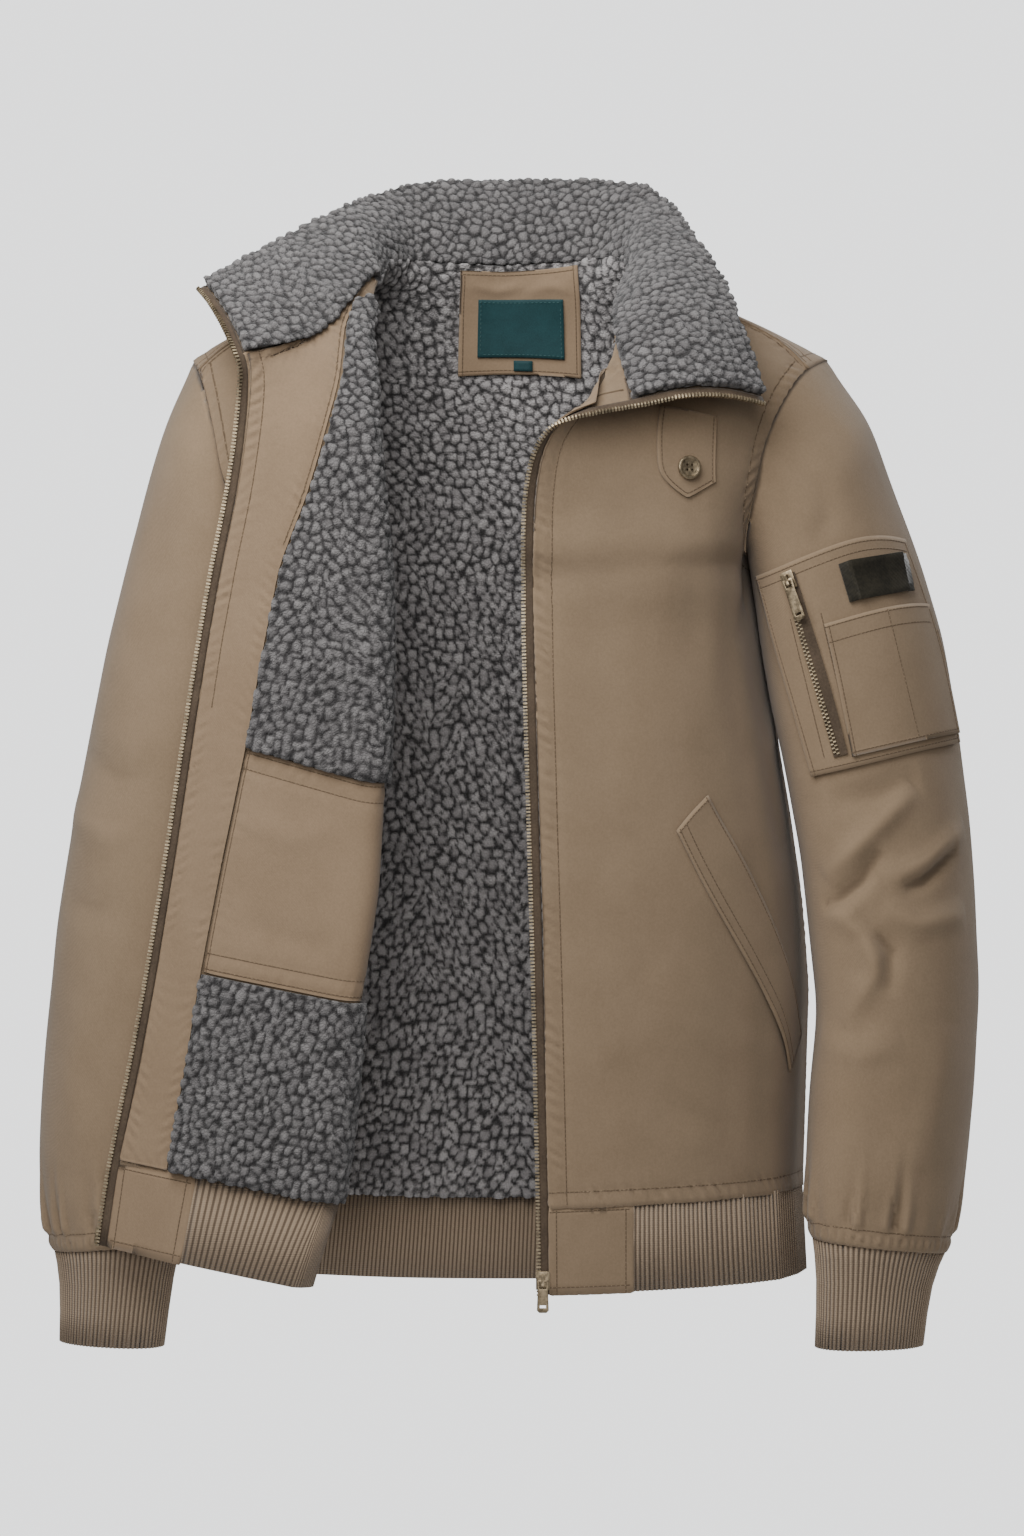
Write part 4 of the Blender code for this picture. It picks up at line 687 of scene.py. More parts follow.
def pucker(gap, along, height, pitch, reach, seed):
    """Small folds across a seam, uneven in pitch and height, fading away from it."""
    drift = noise_along(along, pitch * 3, seed) * PUCKER_DRIFT
    size = 0.55 + 0.45 * noise_along(along, pitch * 2, seed + 7)
    wave = np.sin(TURN * (along + gap * PUCKER_LEAN) / pitch + drift)
    return height * size * wave * np.exp(-(gap / reach) ** PUCKER_FADE)


def faces_down(out):
    """How far the way out of a rim points down, from 0 to 1."""
    return np.clip((-out[:, 2] - DOWN_FROM) / (DOWN_FULL - DOWN_FROM), 0, 1)


def strip(gap, wide, first, last):
    """Share of a strip along a rim, which comes in and goes out over two distances."""
    return np.clip(gap / first, 0, 1) * np.clip((wide - gap) / last, 0, 1)


def hollows(piece, radius):
    """How far each vertex lies below its surroundings, in millimetres."""
    places, normals = points_of(piece.data)
    mesh = piece.data
    edges = np.empty(len(mesh.edges) * 2, dtype=np.int64)
    mesh.edges.foreach_get("vertices", edges)
    edges = edges.reshape(-1, 2)
    mean = places.copy()
    for _ in range(radius):
        total = mean.copy()
        count = np.ones(len(places))
        np.add.at(total, edges[:, 0], mean[edges[:, 1]])
        np.add.at(total, edges[:, 1], mean[edges[:, 0]])
        np.add.at(count, edges[:, 0], 1)
        np.add.at(count, edges[:, 1], 1)
        mean = total / count[:, None]
    return ((mean - places) * normals).sum(axis=1)


# ---------------------------------------------------------------- pile


def spread_out(places, order, closest):
    """Numbers of places picked in a given order, leaving out those too close to one already picked."""
    steps = list(itertools.product((-1, 0, 1), repeat=3))
    cells = {}
    picked = []
    for i, (a, b, c) in zip(order, np.floor(places[order] / CURL_PITCH).astype(int).tolist()):
        near = (j for x, y, z in steps for j in cells.get((a + x, b + y, c + z), ()))
        gaps = (places[j] - places[i] for j in near)
        if all(gap @ gap >= closest ** 2 for gap in gaps):
            cells.setdefault((a, b, c), []).append(i)
            picked.append(i)
    return picked


def free_of(places, normals, pressed_by, behind):
    """How far the pile may rise at each place, from 0 to 1: not at its back, nor under what is sewn on it."""
    backs = [surfaces[behind].tree.find_nearest(Vector(p) * MM)[0] for p in places]
    ways = np.array(backs) / MM - places
    ways /= np.maximum(np.linalg.norm(ways, axis=1), TINY)[:, None]
    free = np.clip((BACK_FACING - (ways * normals).sum(axis=1)) / (2 * BACK_FACING), 0.0, 1.0)
    for node in pressed_by:
        tree = surfaces[node].tree
        gaps = np.array([(tree.find_nearest(Vector(p) * MM)[3] or 1.0) / MM for p in places])
        free = np.minimum(free, np.clip((gaps - PRESSED_REACH) / PRESSED_EASE, 0.0, 1.0))
    return free


def curled(piece, seed, pressed_by, behind):
    """Raise a sherpa pile of close nubs, and keep the painted shade that darkens their crevices and the sides
    of each dome.
    """
    places, normals = points_of(piece.data)
    free = free_of(places, normals, pressed_by, behind)
    rng = np.random.default_rng(seed)
    chosen = spread_out(places, rng.permutation(len(places)), CURL_PITCH * CURL_CLOSEST)
    tree = tree_of(places[chosen])
    tall = rng.uniform(1 - CURL_SPREAD, 1.0, len(chosen))
    tint = rng.uniform(0, 1, len(chosen))
    jitter = np.stack([soft_noise(places, (CURL_BEND,) * 3, seed + k) for k in range(3)], axis=1)
    found = [tree.find_n(spot, 2) for spot in places + jitter * CURL_WANDER]
    one = np.array([near[0][1] for near in found])
    first = np.array([near[0][2] for near in found])
    second = np.array([near[1][2] for near in found])
    crevice = smooth_step(np.minimum(1.0, (second - first) / CREVICE_WIDE))
    dome = np.sqrt(np.maximum(0.0, 1 - (first / (CURL_PITCH * CURL_ROUND)) ** 2))
    height = tall[one] * (DOME_SHARE * dome + (1 - DOME_SHARE) * crevice)
    # painted shade: dark in the crevices and round the sides of each nub's dome, pale on its top
    shade = (0.2 + 0.8 * crevice) * (0.35 + 0.65 * dome) * (0.6 + 0.4 * tall[one])
    crumbs = CRUMB_RISE * soft_noise(places, (CRUMB_SIZE,) * 3, seed + 11)
    put_points(piece.data, places + normals * (free * (CURL_RISE * height + crumbs))[:, None])
    store(piece.data, "pile", shade)
    store(piece.data, "tint", tint[one])


# ---------------------------------------------------------------- small parts in rows


def joined(form, rings):
    """Faces between rings of points that follow each other, and over both ends."""
    for one, two in zip(rings[:-1], rings[1:]):
        for i in range(len(one)):
            j = (i + 1) % len(one)
            form.faces.new((one[i], one[j], two[j], two[i]))
    form.faces.new(rings[0][::-1])
    form.faces.new(rings[-1])


def block_of(form, place, along, out, up, size):
    """Add one small block with a narrower top: its size along, out and up, and the share left at its top."""
    length, width, height, top = size
    rings = []
    for level, share in ((0.0, 1.0), (TOOTH_WAIST, 1.0), (1.0, top)):
        long, wide = along * length / 2 * share, out * width / 2 * share
        spots = [place + long * a + wide * b + up * height * level for a, b in SQUARE]
        rings.append([form.verts.new(Vector(spot) * MM) for spot in spots])
    joined(form, rings)


def piece_from(form, name, finish):
    """Object made from a bmesh form, with its finish."""
    bmesh.ops.recalc_face_normals(form, faces=form.faces)
    mesh = bpy.data.meshes.new(name)
    form.to_mesh(mesh)
    form.free()
    mesh.materials.append(finish)
    piece = bpy.data.objects.new(name, mesh)
    bpy.context.scene.collection.objects.link(piece)
    return piece


def lay_seam_shade(form, surface, run):
    """Add a very low dark ridge on the cloth along a row of stitching: painted shade for the shadow in the
    channel that the stitching pulls in.
    """
    marks = spaced(run, CHANNEL_STEP)
    rings = []
    for mark, tangent in zip(marks, np.gradient(marks, axis=0)):
        place, normal = surface.snap(mark)
        side = unit(np.cross(normal, tangent)) * CHANNEL_WIDE / 2
        foot = normal * CHANNEL_SUNK
        spots = (place - side - foot, place + normal * CHANNEL_HIGH, place + side - foot)
        rings.append([form.verts.new(Vector(spot) * MM) for spot in spots])
    joined(form, rings)


def sew(form, surface, run):
    """Add a row of stitches along a run on a cloth."""
    marks = spaced(run, STITCH_PITCH)
    for start, end in zip(marks[:-1], marks[1:]):
        place, normal = surface.snap((start + end) / 2)
        along = end - start
        along = along - normal * (along @ normal)
        if not STITCH_SHORTEST < np.linalg.norm(along) < STITCH_LONGEST:
            continue
        along = unit(along)
        side = np.cross(normal, along) * STITCH_WIDE / 2
        base = place - normal * STITCH_SUNK
        rings = []
        for share, wide, high in STITCH_SHAPE:
            middle = base + along * STITCH_LENGTH / 2 * share
            top = middle + normal * (STITCH_HIGH * high + STITCH_SUNK)
            spots = (middle - side * wide, top, middle + side * wide)
            rings.append([form.verts.new(Vector(spot) * MM) for spot in spots])
        joined(form, rings)


# ---------------------------------------------------------------- finishes


class Number:
    """A number or colour on its way through a finish; sums on it make the nodes."""

    def __init__(self, finish, socket):
        self.finish = finish
        self.socket = socket

    def sum_of(self, operation, one, two):
        return self.finish.add("ShaderNodeMath", {"operation": operation}, {0: one, 1: two})

    def __add__(self, other):
        return self.sum_of("ADD", self, other)

    def __radd__(self, other):
        return self.sum_of("ADD", other, self)

    def __sub__(self, other):
        return self.sum_of("SUBTRACT", self, other)

    def __rsub__(self, other):
        return self.sum_of("SUBTRACT", other, self)

    def __mul__(self, other):
        return self.sum_of("MULTIPLY", self, other)

    def __rmul__(self, other):
        return self.sum_of("MULTIPLY", other, self)

    def sine(self):
        return self.finish.add("ShaderNodeMath", {"operation": "SINE"}, {0: self})

    def between(self, low, high):
        """0 below low, 1 above high, smooth between."""
        return self.finish.add("ShaderNodeMapRange", {"interpolation_type": "SMOOTHSTEP", "clamp": True},
                               {"Value": self, "From Min": low, "From Max": high})


class Finish:
    """A material whose nodes are added one by one."""

    def __init__(self, name):
        self.material = bpy.data.materials.new(name)
        self.material.use_nodes = True
        self.tree = self.material.node_tree
        self.tree.nodes.clear()

    def add(self, kind, settings=None, sockets=None, output=0):
        """Add a node: its settings first, then the values or links of its sockets."""
        node = self.tree.nodes.new(kind)
        for name, value in (settings or {}).items():
            setattr(node, name, value)
        for name, value in (sockets or {}).items():
            if isinstance(value, Number):
                self.tree.links.new(value.socket, node.inputs[name])
            else:
                node.inputs[name].default_value = value
        return Number(self, node.outputs[output]) if len(node.outputs) else None

    def place(self):
        """Object coordinates in millimetres."""
        raw = self.add("ShaderNodeTexCoord", output="Object")
        return self.add("ShaderNodeVectorMath", {"operation": "SCALE"}, {0: raw, "Scale": 1 / MM})

    def parts(self, place):
        """The three numbers of a place."""
        split = self.add("ShaderNodeSeparateXYZ", None, {0: place})
        return [Number(self, socket) for socket in split.socket.node.outputs]

    def noise(self, place, size, detail=2.0, rough=0.5, stretch=(1, 1, 1)):
        """Noise whose lumps are about size millimetres across."""
        scaled = self.add("ShaderNodeVectorMath", {"operation": "MULTIPLY"}, {0: place, 1: stretch})
        sockets = {"Vector": scaled, "Scale": 1.0 / size, "Detail": detail, "Roughness": rough}
        return self.add("ShaderNodeTexNoise", None, sockets)

    def blend(self, share, one, two):
        """Colour between two, by a share from 0 to 1."""
        return self.add("ShaderNodeMix", {"data_type": "RGBA"}, {0: share, 6: one, 7: two}, output=2)

    def kept(self, name):
        """Number that the piece keeps for each vertex."""
        return self.add("ShaderNodeAttribute", {"attribute_name": name}, output="Fac")

    def bump(self, height, strength):
        """Fine relief from a height in millimetres."""
        return self.add("ShaderNodeBump", None, {"Height": height, "Distance": MM, "Strength": strength})

    def close(self, colour, roughness, normal=None, **constants):
        """End the finish in one surface shader."""
        sockets = {"Base Color": colour, "Roughness": roughness}
        if normal is not None:
            sockets["Normal"] = normal
        for name, value in constants.items():
            sockets[name.replace("_", " ").title().replace("Ior", "IOR")] = value
        surface = self.add("ShaderNodeBsdfPrincipled", None, sockets)
        self.add("ShaderNodeOutputMaterial", None, {"Surface": surface})
        return self.material


def twill(name, base, pale, crease_shade_colour):
    """Washed cotton twill: fine diagonal weave, soft mottling, paler on raised edges as partly rubbed wear and
    partly painted highlight, and painted shade darkening its creases.
    """
    finish = Finish(name)
    place = finish.place()
    x, y, z = finish.parts(place)
    cloudy = finish.noise(place, 42, 3.0, 0.6)
    heather = finish.noise(place, 1.6, 2.0, 0.7)
    yarn = finish.noise(place, 0.9, 1.0, 0.5, (1, 1, 0.25))
    ribs = ((x + z + y * 0.6) * (TURN / TWILL_PITCH) + heather * 2.0).sine()
    share = cloudy.between(0.3, 0.7) * 0.32 + heather.between(0.25, 0.75) * 0.42 + yarn * 0.26
    colour = finish.blend(share, (*base, 1), (*pale, 1))
    # painted shade: the further a vertex lies in a hollow, the more its colour goes to the dark crease shade
    # colour
    low = finish.kept("hollow")
    colour = finish.blend(low.between(0.05, 1.1) * 0.6, colour, (*crease_shade_colour, 1))
    # partly rubbed wear and partly painted highlight: raised parts turn paler than the pale colour
    worn = (0 - low).between(0.05, 0.8) * 0.35
    colour = finish.blend(worn, colour, (*[min(1, c * 1.22) for c in pale], 1))
    grain = ribs * 0.06 + heather * 0.10 + yarn * 0.06
    soft = finish.noise(place, 9, 2.0, 0.5) * 0.28
    normal = finish.bump(grain + soft, 0.75)
    rough = 0.78 + heather * 0.14
    return finish.close(colour, rough, normal, sheen_weight=0.16, sheen_roughness=0.55,
                        specular_ior_level=0.22)


def pile(name, light):
    """Curly grey sherpa with painted shade: nub tops painted pale, crevices painted near black, and crumbs of
    curl on each nub.
    """
    finish = Finish(name)
    place = finish.place()
    # height here is the painted nub shade kept by curled, not the height the nubs were raised by
    height = finish.kept("pile")
    tone = finish.kept("tint")
    fibre = finish.noise(place, 1.2, 3.0, 0.7)
    drift = finish.noise(place, 2.4, 1.0, 0.5)
    bent = finish.add("ShaderNodeVectorMath", {"operation": "ADD"}, {0: place, 1: drift})
    cells = {"Vector": bent, "Scale": 0.42}
    crumb = finish.add("ShaderNodeTexVoronoi", {"feature": "DISTANCE_TO_EDGE"}, cells).between(0.02, 0.24)
    curl = finish.noise(place, 3.0, 2.0, 0.6)
    share = height * (crumb * 0.16 + 0.72) + fibre.between(0.25, 0.8) * 0.24 + curl * 0.24 - 0.20
    # light scales the greys: a higher value paints a lit copy of the same pile
    greys = [(*[c * light for c in grey], 1) for grey in ((0.205, 0.192, 0.190), (0.330, 0.312, 0.306))]
    pale = finish.blend(tone * 0.8, *greys)
    # painted shade: the near black colour fills the crevices and the shaded sides of the nubs
    colour = finish.blend(share.between(0.02, 0.86), (0.020, 0.018, 0.018, 1), pale)
    normal = finish.bump(fibre * 0.7 + crumb * 0.45, 0.9)
    return finish.close(colour, 0.95, normal, sheen_weight=0.22, sheen_roughness=0.6, specular_ior_level=0.1)


def knit(name):
    """Ribbed knit: raised wales, painted shade darkening the grooves between them, and small courses across
    them.
    """
    finish = Finish(name)
    place = finish.place()
    z = finish.parts(place)[2]
    fuzz = finish.noise(place, 1.3, 2.0, 0.6)
    cloudy = finish.noise(place, 30, 2.0, 0.5)
    course = (z * (TURN / COURSE_PITCH) + fuzz * 2.5).sine()
    ridge = (finish.kept("wale") * TURN + TURN / 4 + fuzz * 0.5 - 0.25).sine()
    share = fuzz.between(0.2, 0.8) * 0.5 + cloudy * 0.5
    colour = finish.blend(share, (0.282, 0.208, 0.143, 1), (0.372, 0.280, 0.196, 1))
    # painted shade: colour goes to a near black brown where the wale number puts a groove between two ribs
    colour = finish.blend(ridge.between(0.25, -0.85) * 0.82, colour, (0.085, 0.058, 0.038, 1))
    normal = finish.bump(ridge * 0.22 + course * 0.10 + fuzz * 0.22, 0.8)
    return finish.close(colour, 0.9, normal, sheen_weight=0.2, sheen_roughness=0.5, specular_ior_level=0.15)


def old_brass(name, base, rough):
    """Rubbed antique brass: bright where worn, brown in the pits."""
    finish = Finish(name)
    place = finish.place()
    spots = finish.noise(place, 2.2, 3.0, 0.6)
    cloud = finish.noise(place, 7.0, 2.0, 0.5)
    worn = (spots * 0.6 + cloud * 0.4).between(0.35, 0.62)
    colour = finish.blend(worn, (*[c * 0.45 for c in base], 1), (*base, 1))
    normal = finish.bump(spots * 0.10, 0.5)
    return finish.close(colour, rough + spots * 0.18, normal, metallic=0.92)


def plain_weave(name, base, pale, pitch, rough=0.85):
    """Close woven tape, thread or label: fine ribs and slight mottling."""
    finish = Finish(name)
    place = finish.place()
    x, _, z = finish.parts(place)
    fine = finish.noise(place, pitch, 2.0, 0.6)
    cloud = finish.noise(place, 14, 2.0, 0.5)
    cross = (x * (TURN / pitch)).sine() * (z * (TURN / pitch)).sine()
    colour = finish.blend((fine * 0.6 + cloud * 0.5).between(0.3, 0.8), (*base, 1), (*pale, 1))
    normal = finish.bump(cross * 0.05 + fine * 0.12, 0.7)
    return finish.close(colour, rough, normal, sheen_weight=0.1, specular_ior_level=0.2)


def stage_finish():
    """Plain pale paper for the floor."""
    finish = Finish("pale_floor")
    place = finish.place()
    grain = finish.noise(place, 60, 1.0, 0.4)
    colour = finish.blend(grain, (0.70, 0.705, 0.715, 1), (0.71, 0.715, 0.725, 1))
    return finish.close(colour, 0.95)


# ---------------------------------------------------------------- the jacket's cloth

# the last colour of each twill is its painted crease shade
TWILL = twill("cotton_twill", (0.212, 0.148, 0.090), (0.275, 0.196, 0.124), (0.085, 0.056, 0.033))
FACING = twill("facing_twill", (0.230, 0.158, 0.097), (0.296, 0.208, 0.131), (0.100, 0.065, 0.038))
# the lining inside the back gets a copy of the same pile painted almost twice as light, to make up for the
# shade far inside the jacket
SHERPA = pile("sherpa_pile", 0.70)
SHERPA_PAINTED_LIGHTER = pile("sherpa_pile_painted_lighter", 1.35)
RIB = knit("rib_knit")
BRASS = old_brass("old_brass", (0.40, 0.315, 0.205), 0.34)
TEETH = old_brass("zip_teeth_brass", (0.60, 0.49, 0.33), 0.40)
THREAD = plain_weave("sewing_thread", (0.190, 0.135, 0.085), (0.300, 0.222, 0.148), 0.8)
# painted shade: a dark strip colour for the shadow in the channel that topstitching pulls into the cloth
SEAM_SHADE = plain_weave("painted_seam_shade", (0.105, 0.071, 0.043), (0.140, 0.097, 0.060), 0.9)
TAPE = plain_weave("zip_tape", (0.060, 0.042, 0.028), (0.105, 0.075, 0.050), 1.4)
LABEL = plain_weave("teal_label", (0.008, 0.036, 0.040), (0.014, 0.055, 0.060), 1.0, 0.6)
LABEL_THREAD = plain_weave("teal_thread", (0.030, 0.085, 0.085), (0.045, 0.110, 0.110), 0.8)
BADGE = plain_weave("badge_leather", (0.014, 0.012, 0.008), (0.034, 0.029, 0.019), 2.5, 0.5)
FINISHES = {"twill": TWILL, "facing_twill": FACING, "label": LABEL}

# folds by the side they are seen from: marks across and up, height or depth, half width
FOLDS = {
    "front_left": {
        "front": (
            (((13, -223), (60, -222), (110, -222), (152, -224)), 7.5, 27),
            (((120, -180), (128, -260), (118, -340)), 1.6, 16),
            (((60, -200), (52, -330), (58, -440)), -1.2, 20),
            (((85, -480), (120, -520), (170, -545)), 1.6, 14),
            (((60, -540), (100, -575), (150, -590)), -1.3, 12),
            (((150, -150), (152, -210), (146, -270)), -2.0, 10),
            (((175, -280), (168, -340), (178, -400)), 1.6, 12),
        ),
    },
    "front_right": {
        "front": ((((-170, -60), (-150, -120), (-148, -190)), -1.0, 10),),
        "left": ((((-40, -120), (-60, -240), (-58, -380)), 1.5, 16),),
        "back": ((((-170, -260), (-186, -380), (-180, -500)), -1.4, 16),),
    },
    "back": {
        "back": (
            (((-120, -120), (-60, -170), (10, -180), (80, -165), (130, -110)), -3.2, 18),
            (((-104, -290), (-94, -400), (-112, -570)), 6.0, 17),
            (((-62, -330), (-50, -430), (-60, -560)), -3.4, 16),
            (((12, -310), (24, -420), (8, -590)), 5.0, 20),
            (((104, -330), (92, -430), (112, -600)), 6.0, 16),
            (((64, -300), (56, -400), (70, -520)), -3.4, 16),
            (((-150, -560), (-90, -590), (-20, -585)), 3.4, 12),
            (((30, -598), (100, -580), (160, -592)), 3.0, 12),
            (((150, -190), (112, -238), (56, -262)), 5.5, 14),
            (((-156, -186), (-118, -240), (-50, -270)), 5.5, 14),
        ),
    },
    "sleeve_left": {
        "front": (
            (((262, -362), (232, -392), (200, -424)), 5.5, 8),
            (((240, -402), (226, -424), (202, -442)), -5.0, 6),
            (((204, -440), (230, -458), (236, -484), (214, -520)), 4.5, 8),
            (((222, -444), (246, -470), (244, -500)), -4.5, 6.5),
            (((298, -388), (270, -412), (240, -424)), 4.5, 8),
            (((292, -402), (268, -424), (250, -430)), -4.5, 5.5),
            (((240, -442), (264, -452), (298, -446)), 3.6, 8),
            (((205, -372), (232, -366), (268, -352)), -3.0, 9),
            (((200, -530), (226, -538), (256, -526)), 2.6, 11),
            (((200, -150), (205, -180), (196, -205)), -1.8, 9),
            (((285, -520), (276, -570), (262, -620)), 2.0, 14),
            (((235, -540), (240, -590), (232, -630)), -1.6, 14),
        ),
        "back": (
            (((215, -350), (250, -372), (285, -368)), -4.0, 10),
            (((210, -392), (245, -402), (290, -392)), 5.0, 9),
            (((215, -430), (250, -436), (290, -425)), -2.8, 10),
            (((190, -140), (215, -180), (220, -230)), 1.8, 12),
            (((240, -520), (250, -580), (240, -640)), 1.8, 14),
        ),
    },
    "sleeve_right": {
        "front": (
            (((-236, -130), (-246, -230), (-262, -330)), -1.4, 18),
            (((-300, -330), (-270, -352), (-240, -352)), -1.8, 12),
            (((-305, -375), (-276, -392), (-250, -388)), 2.2, 12),
            (((-310, -430), (-284, -442), (-262, -432)), -1.8, 12),
            (((-290, -500), (-300, -560), (-288, -625)), 1.8, 13),
        ),
        "back": (
            (((-225, -345), (-258, -372), (-298, -366)), -4.0, 10),
            (((-225, -392), (-262, -404), (-305, -392)), 5.0, 9),
            (((-235, -430), (-268, -438), (-308, -425)), -2.6, 10),
            (((-205, -140), (-225, -180), (-232, -230)), 1.8, 12),
            (((-265, -520), (-272, -580), (-262, -640)), 1.8, 14),
        ),
    },
    "inner_pocket": {
        "front": (
            (((-190, -380), (-150, -395), (-120, -390)), 1.2, 9),
            (((-185, -450), (-150, -462), (-120, -470)), -1.2, 9),
        ),
    },
    "neck_patch": {
        "front": (
            (((-35, -14), (-15, -18), (5, -14)), 1.3, 4),
            (((5, -20), (20, -15), (38, -18)), 1.1, 4),
        ),
    },
}

# rows of stitching: each an inset from the rim, and points near the stretches of rim that it follows
SEAMS = {
    "front_left": (
        (11.5, (10, -125, -300)), (8.0, (76, -118, -634)), (8.5, (164, -62, -130)), (2.5, (147, -21, -45)),
    ),
    "front_right": (
        (11.5, (-190, -99, -200)), (8.5, (-206, -51, -122)), (8.0, (-124, -124, -634)),
        (2.5, (-160, -19, -45)),
    ),
    "back": (
        (8.0, (0, 99, -648)), (8.5, (190, 52, -109), (-200, 55, -116)), (3.0, (137, -19, -42)),
        (9.5, (137, -19, -42)), (3.0, (-160, -20, -44)), (9.5, (-160, -20, -44)),
    ),
    "sleeve_left": ((8.0, (275, -3, -669)),),
    "sleeve_right": ((8.0, (-302, -47, -669)),),
    "collar_shell": ((7.0, (-62, 101, 55), (-196, -78, -48), (118, -112, -99)),),
    "facing_left": ((9.0, (10, -120, -202)), (2.5, (55, -112, -194))),
    "facing_right": ((9.0, (-200, -103, -250)), (2.5, (-138, -108, -161))),
    "inner_pocket": (
        (3.0, (-124, -93, -429)), (2.2, (-195, -109, -409)), (13.0, (-105, -118, -502), (-90, -114, -359)),
        (2.5, (-105, -118, -502), (-90, -114, -359)),
    ),
    "hem_tab_left": ((4.5, (45, -119, -694), (45, -122, -635), (74, -117, -664), (19, -122, -665)),),
    "hem_tab_right": ((4.5, (-247, -99, -613), (-252, -99, -670), (-269, -92, -638), (-220, -109, -647)),),
    "welt_left": ((2.2, (148, -94, -473), (167, -77, -447), (113, -109, -379)), (8.0, (148, -94, -473))),
    "welt_right": (
        (2.2, (-157, -81, -473), (-168, -66, -448), (-132, -92, -379)), (8.0, (-157, -81, -473)),
    ),
    "button_tab": ((2.8, (106, -100, -168), (130, -90, -139)),),
    "sleeve_panel": (
        (3.0, (204, -75, -202), (171, -63, -275), (251, -76, -341), (280, -36, -255)),
        (9.0, (204, -75, -202)),
    ),
    "sleeve_pocket": (
        (2.5, (244, -70, -242)), (3.0, (266, -71, -331), (287, -39, -278), (211, -82, -293)),
        (13.0, (244, -70, -242)),
    ),
    "neck_patch": ((3.0, (-42, 76, -31), (0, 86, -75), (-1, 71, -4), (42, 71, -33)),),
    "neck_label": ((1.8, (31, 75, -43), (-29, 79, -41), (1, 83, -63), (0, 75, -24)),),
}
# further rows, through marks across and up as seen from the front
SEWN_LINES = {
    "sleeve_panel": (((180, -250), (203, -345)), ((200, -246), (222, -341))),
    "sleeve_pocket": (((245, -243), (268, -336)),),
}


def swell(places, seed):
    """Slow unevenness of hung cloth."""
    slow = soft_noise(places, SLOW_SIZE, seed)
    return SLOW_SWELL * slow + QUICK_SWELL * soft_noise(places, QUICK_SIZE, seed + 3)


def puckered(node, gap, along, seed):
    """Heights near a rim: puckers at its seam and along a zip, and the cloth pulled in at its edge."""
    rise, pitch = LARGE_PUCKER if node in LARGE else SEAM_PUCKER
    height = (1 - fades(gap, PUCKER_HELD)) * pucker(gap, along, rise, pitch, PUCKER_REACH, seed)
    if node in ZIP_EDGED:
        rise, pitch = ZIP_PUCKER
        turned = strip(gap, ZIP_EDGED[node], RIM_EASE, RIM_REACH)
        height += turned * pucker(gap * ZIP_SLANT, along, rise, pitch, ZIP_REACH, seed + 3)
    if node in LARGE:
        height -= RIM_DROP * fades(gap, RIM_EASE)
    return height


def gathered(gap, out, along, seed):
    """Fulness of a sleeve where it is eased into its cuff: uneven folds above the seam, tucks below it."""
    drift = noise_along(along, CUFF_DRIFT_SIZE, seed) * CUFF_DRIFT
    size = np.clip(0.55 + 0.75 * noise_along(along, CUFF_SIZE, seed + 5), 0.1, 1.2)
    beyond = gap - SLEEVE_BAND
    above = np.clip(beyond / CUFF_START, 0, 1) * fades(beyond, CUFF_REACH * (1 + size))
    rise, pitch = CUFF_FOLD
    folds = rise * size * np.sin(TURN * along / pitch + drift) * above
    rise, pitch = CUFF_TUCK
    tucks = rise * np.sin(TURN * along / pitch + drift * 1.7) * strip(gap, SLEEVE_BAND, RIM_REACH, RIM_EASE)
    return faces_down(out) * (folds + tucks)


def rim_shift(node, normals, gap, out):
    """How the rim of a piece moves: out over its seam, and down where the cloth blouses over a band."""
    shift = out * (RIM_GROWTH.get(node, 0.0) * fades(gap, RIM_REACH))[:, None]
    if node in BLOUSED:
        reach, steep, rise, drop = BLOUSED[node]
        low = np.exp(-(gap / reach) ** steep) * faces_down(out)
        shift += normals * (rise * low)[:, None]
        shift[:, 2] -= drop * low
    return shift


def make_cloth(node, wall, level, cell, away, finish, seed):
    """One cut piece: fine wall, listed folds, puckers at its seams, and its rows of stitching."""
    piece = cloth_from(node, wall, level, away, cell)
    surface = Surface(piece)
    places, normals = points_of(piece.data)
    gap, out, along = near_rim(surface, places)
    sewn = [surface.edge(near, inset) for inset, *places in SEAMS.get(node, ()) for near in places]
    sewn += [surface.line("front", marks) for marks in SEWN_LINES.get(node, ())]
    height = swell(places, seed) * (1.0 if wall > THICK_CLOTH else THIN_SWELL)
    for side, folds in FOLDS.get(node, {}).items():
        for marks, depth, width in folds:
            height += fold(places, surface.line(side, marks), depth, width)
    height += puckered(node, gap, along, seed)
    if node in LARGE:
        height += sum(groove(places, run, SEAM_DEPTH, SEAM_WIDE) for run in sewn)
    if node in GATHERS:
        height += gathered(gap, out, along, seed)
    if node in DEEPEST:
        height = np.maximum(height, -DEEPEST[node])
    put_points(piece.data, places + normals * height[:, None] + rim_shift(node, normals, gap, out))
    # how far each vertex lies in a hollow: the twill finish turns it into painted shade in creases and a paler
    # painted highlight with wear on raised parts
    store(piece.data, "hollow", np.clip(hollows(piece, HOLLOW_ROUNDS), -MOST_HOLLOW, MOST_HOLLOW))
    piece.data.materials.append(FINISHES[finish])
    surface.refresh(piece)
    all_shown(piece)
    for run in sewn:
        sew(stitches[LABEL_THREAD if finish == "label" else THREAD], surface, run)
        # along each row except on labels, a low dark strip of painted seam shade
        if finish != "label":
            lay_seam_shade(stitches[SEAM_SHADE], surface, run)
    return piece, surface


def make_pile(node, wall, level, cell, away, pressed_by, seed):
    """One piece of the sherpa lining."""
    piece = cloth_from(node, wall, level, away, cell)
    curled(piece, seed, pressed_by, away)
    all_shown(piece)
    # the back lining takes the copy of the pile that is painted lighter
    piece.data.materials.append(SHERPA_PAINTED_LIGHTER if node == "lining_back" else SHERPA)
    return piece


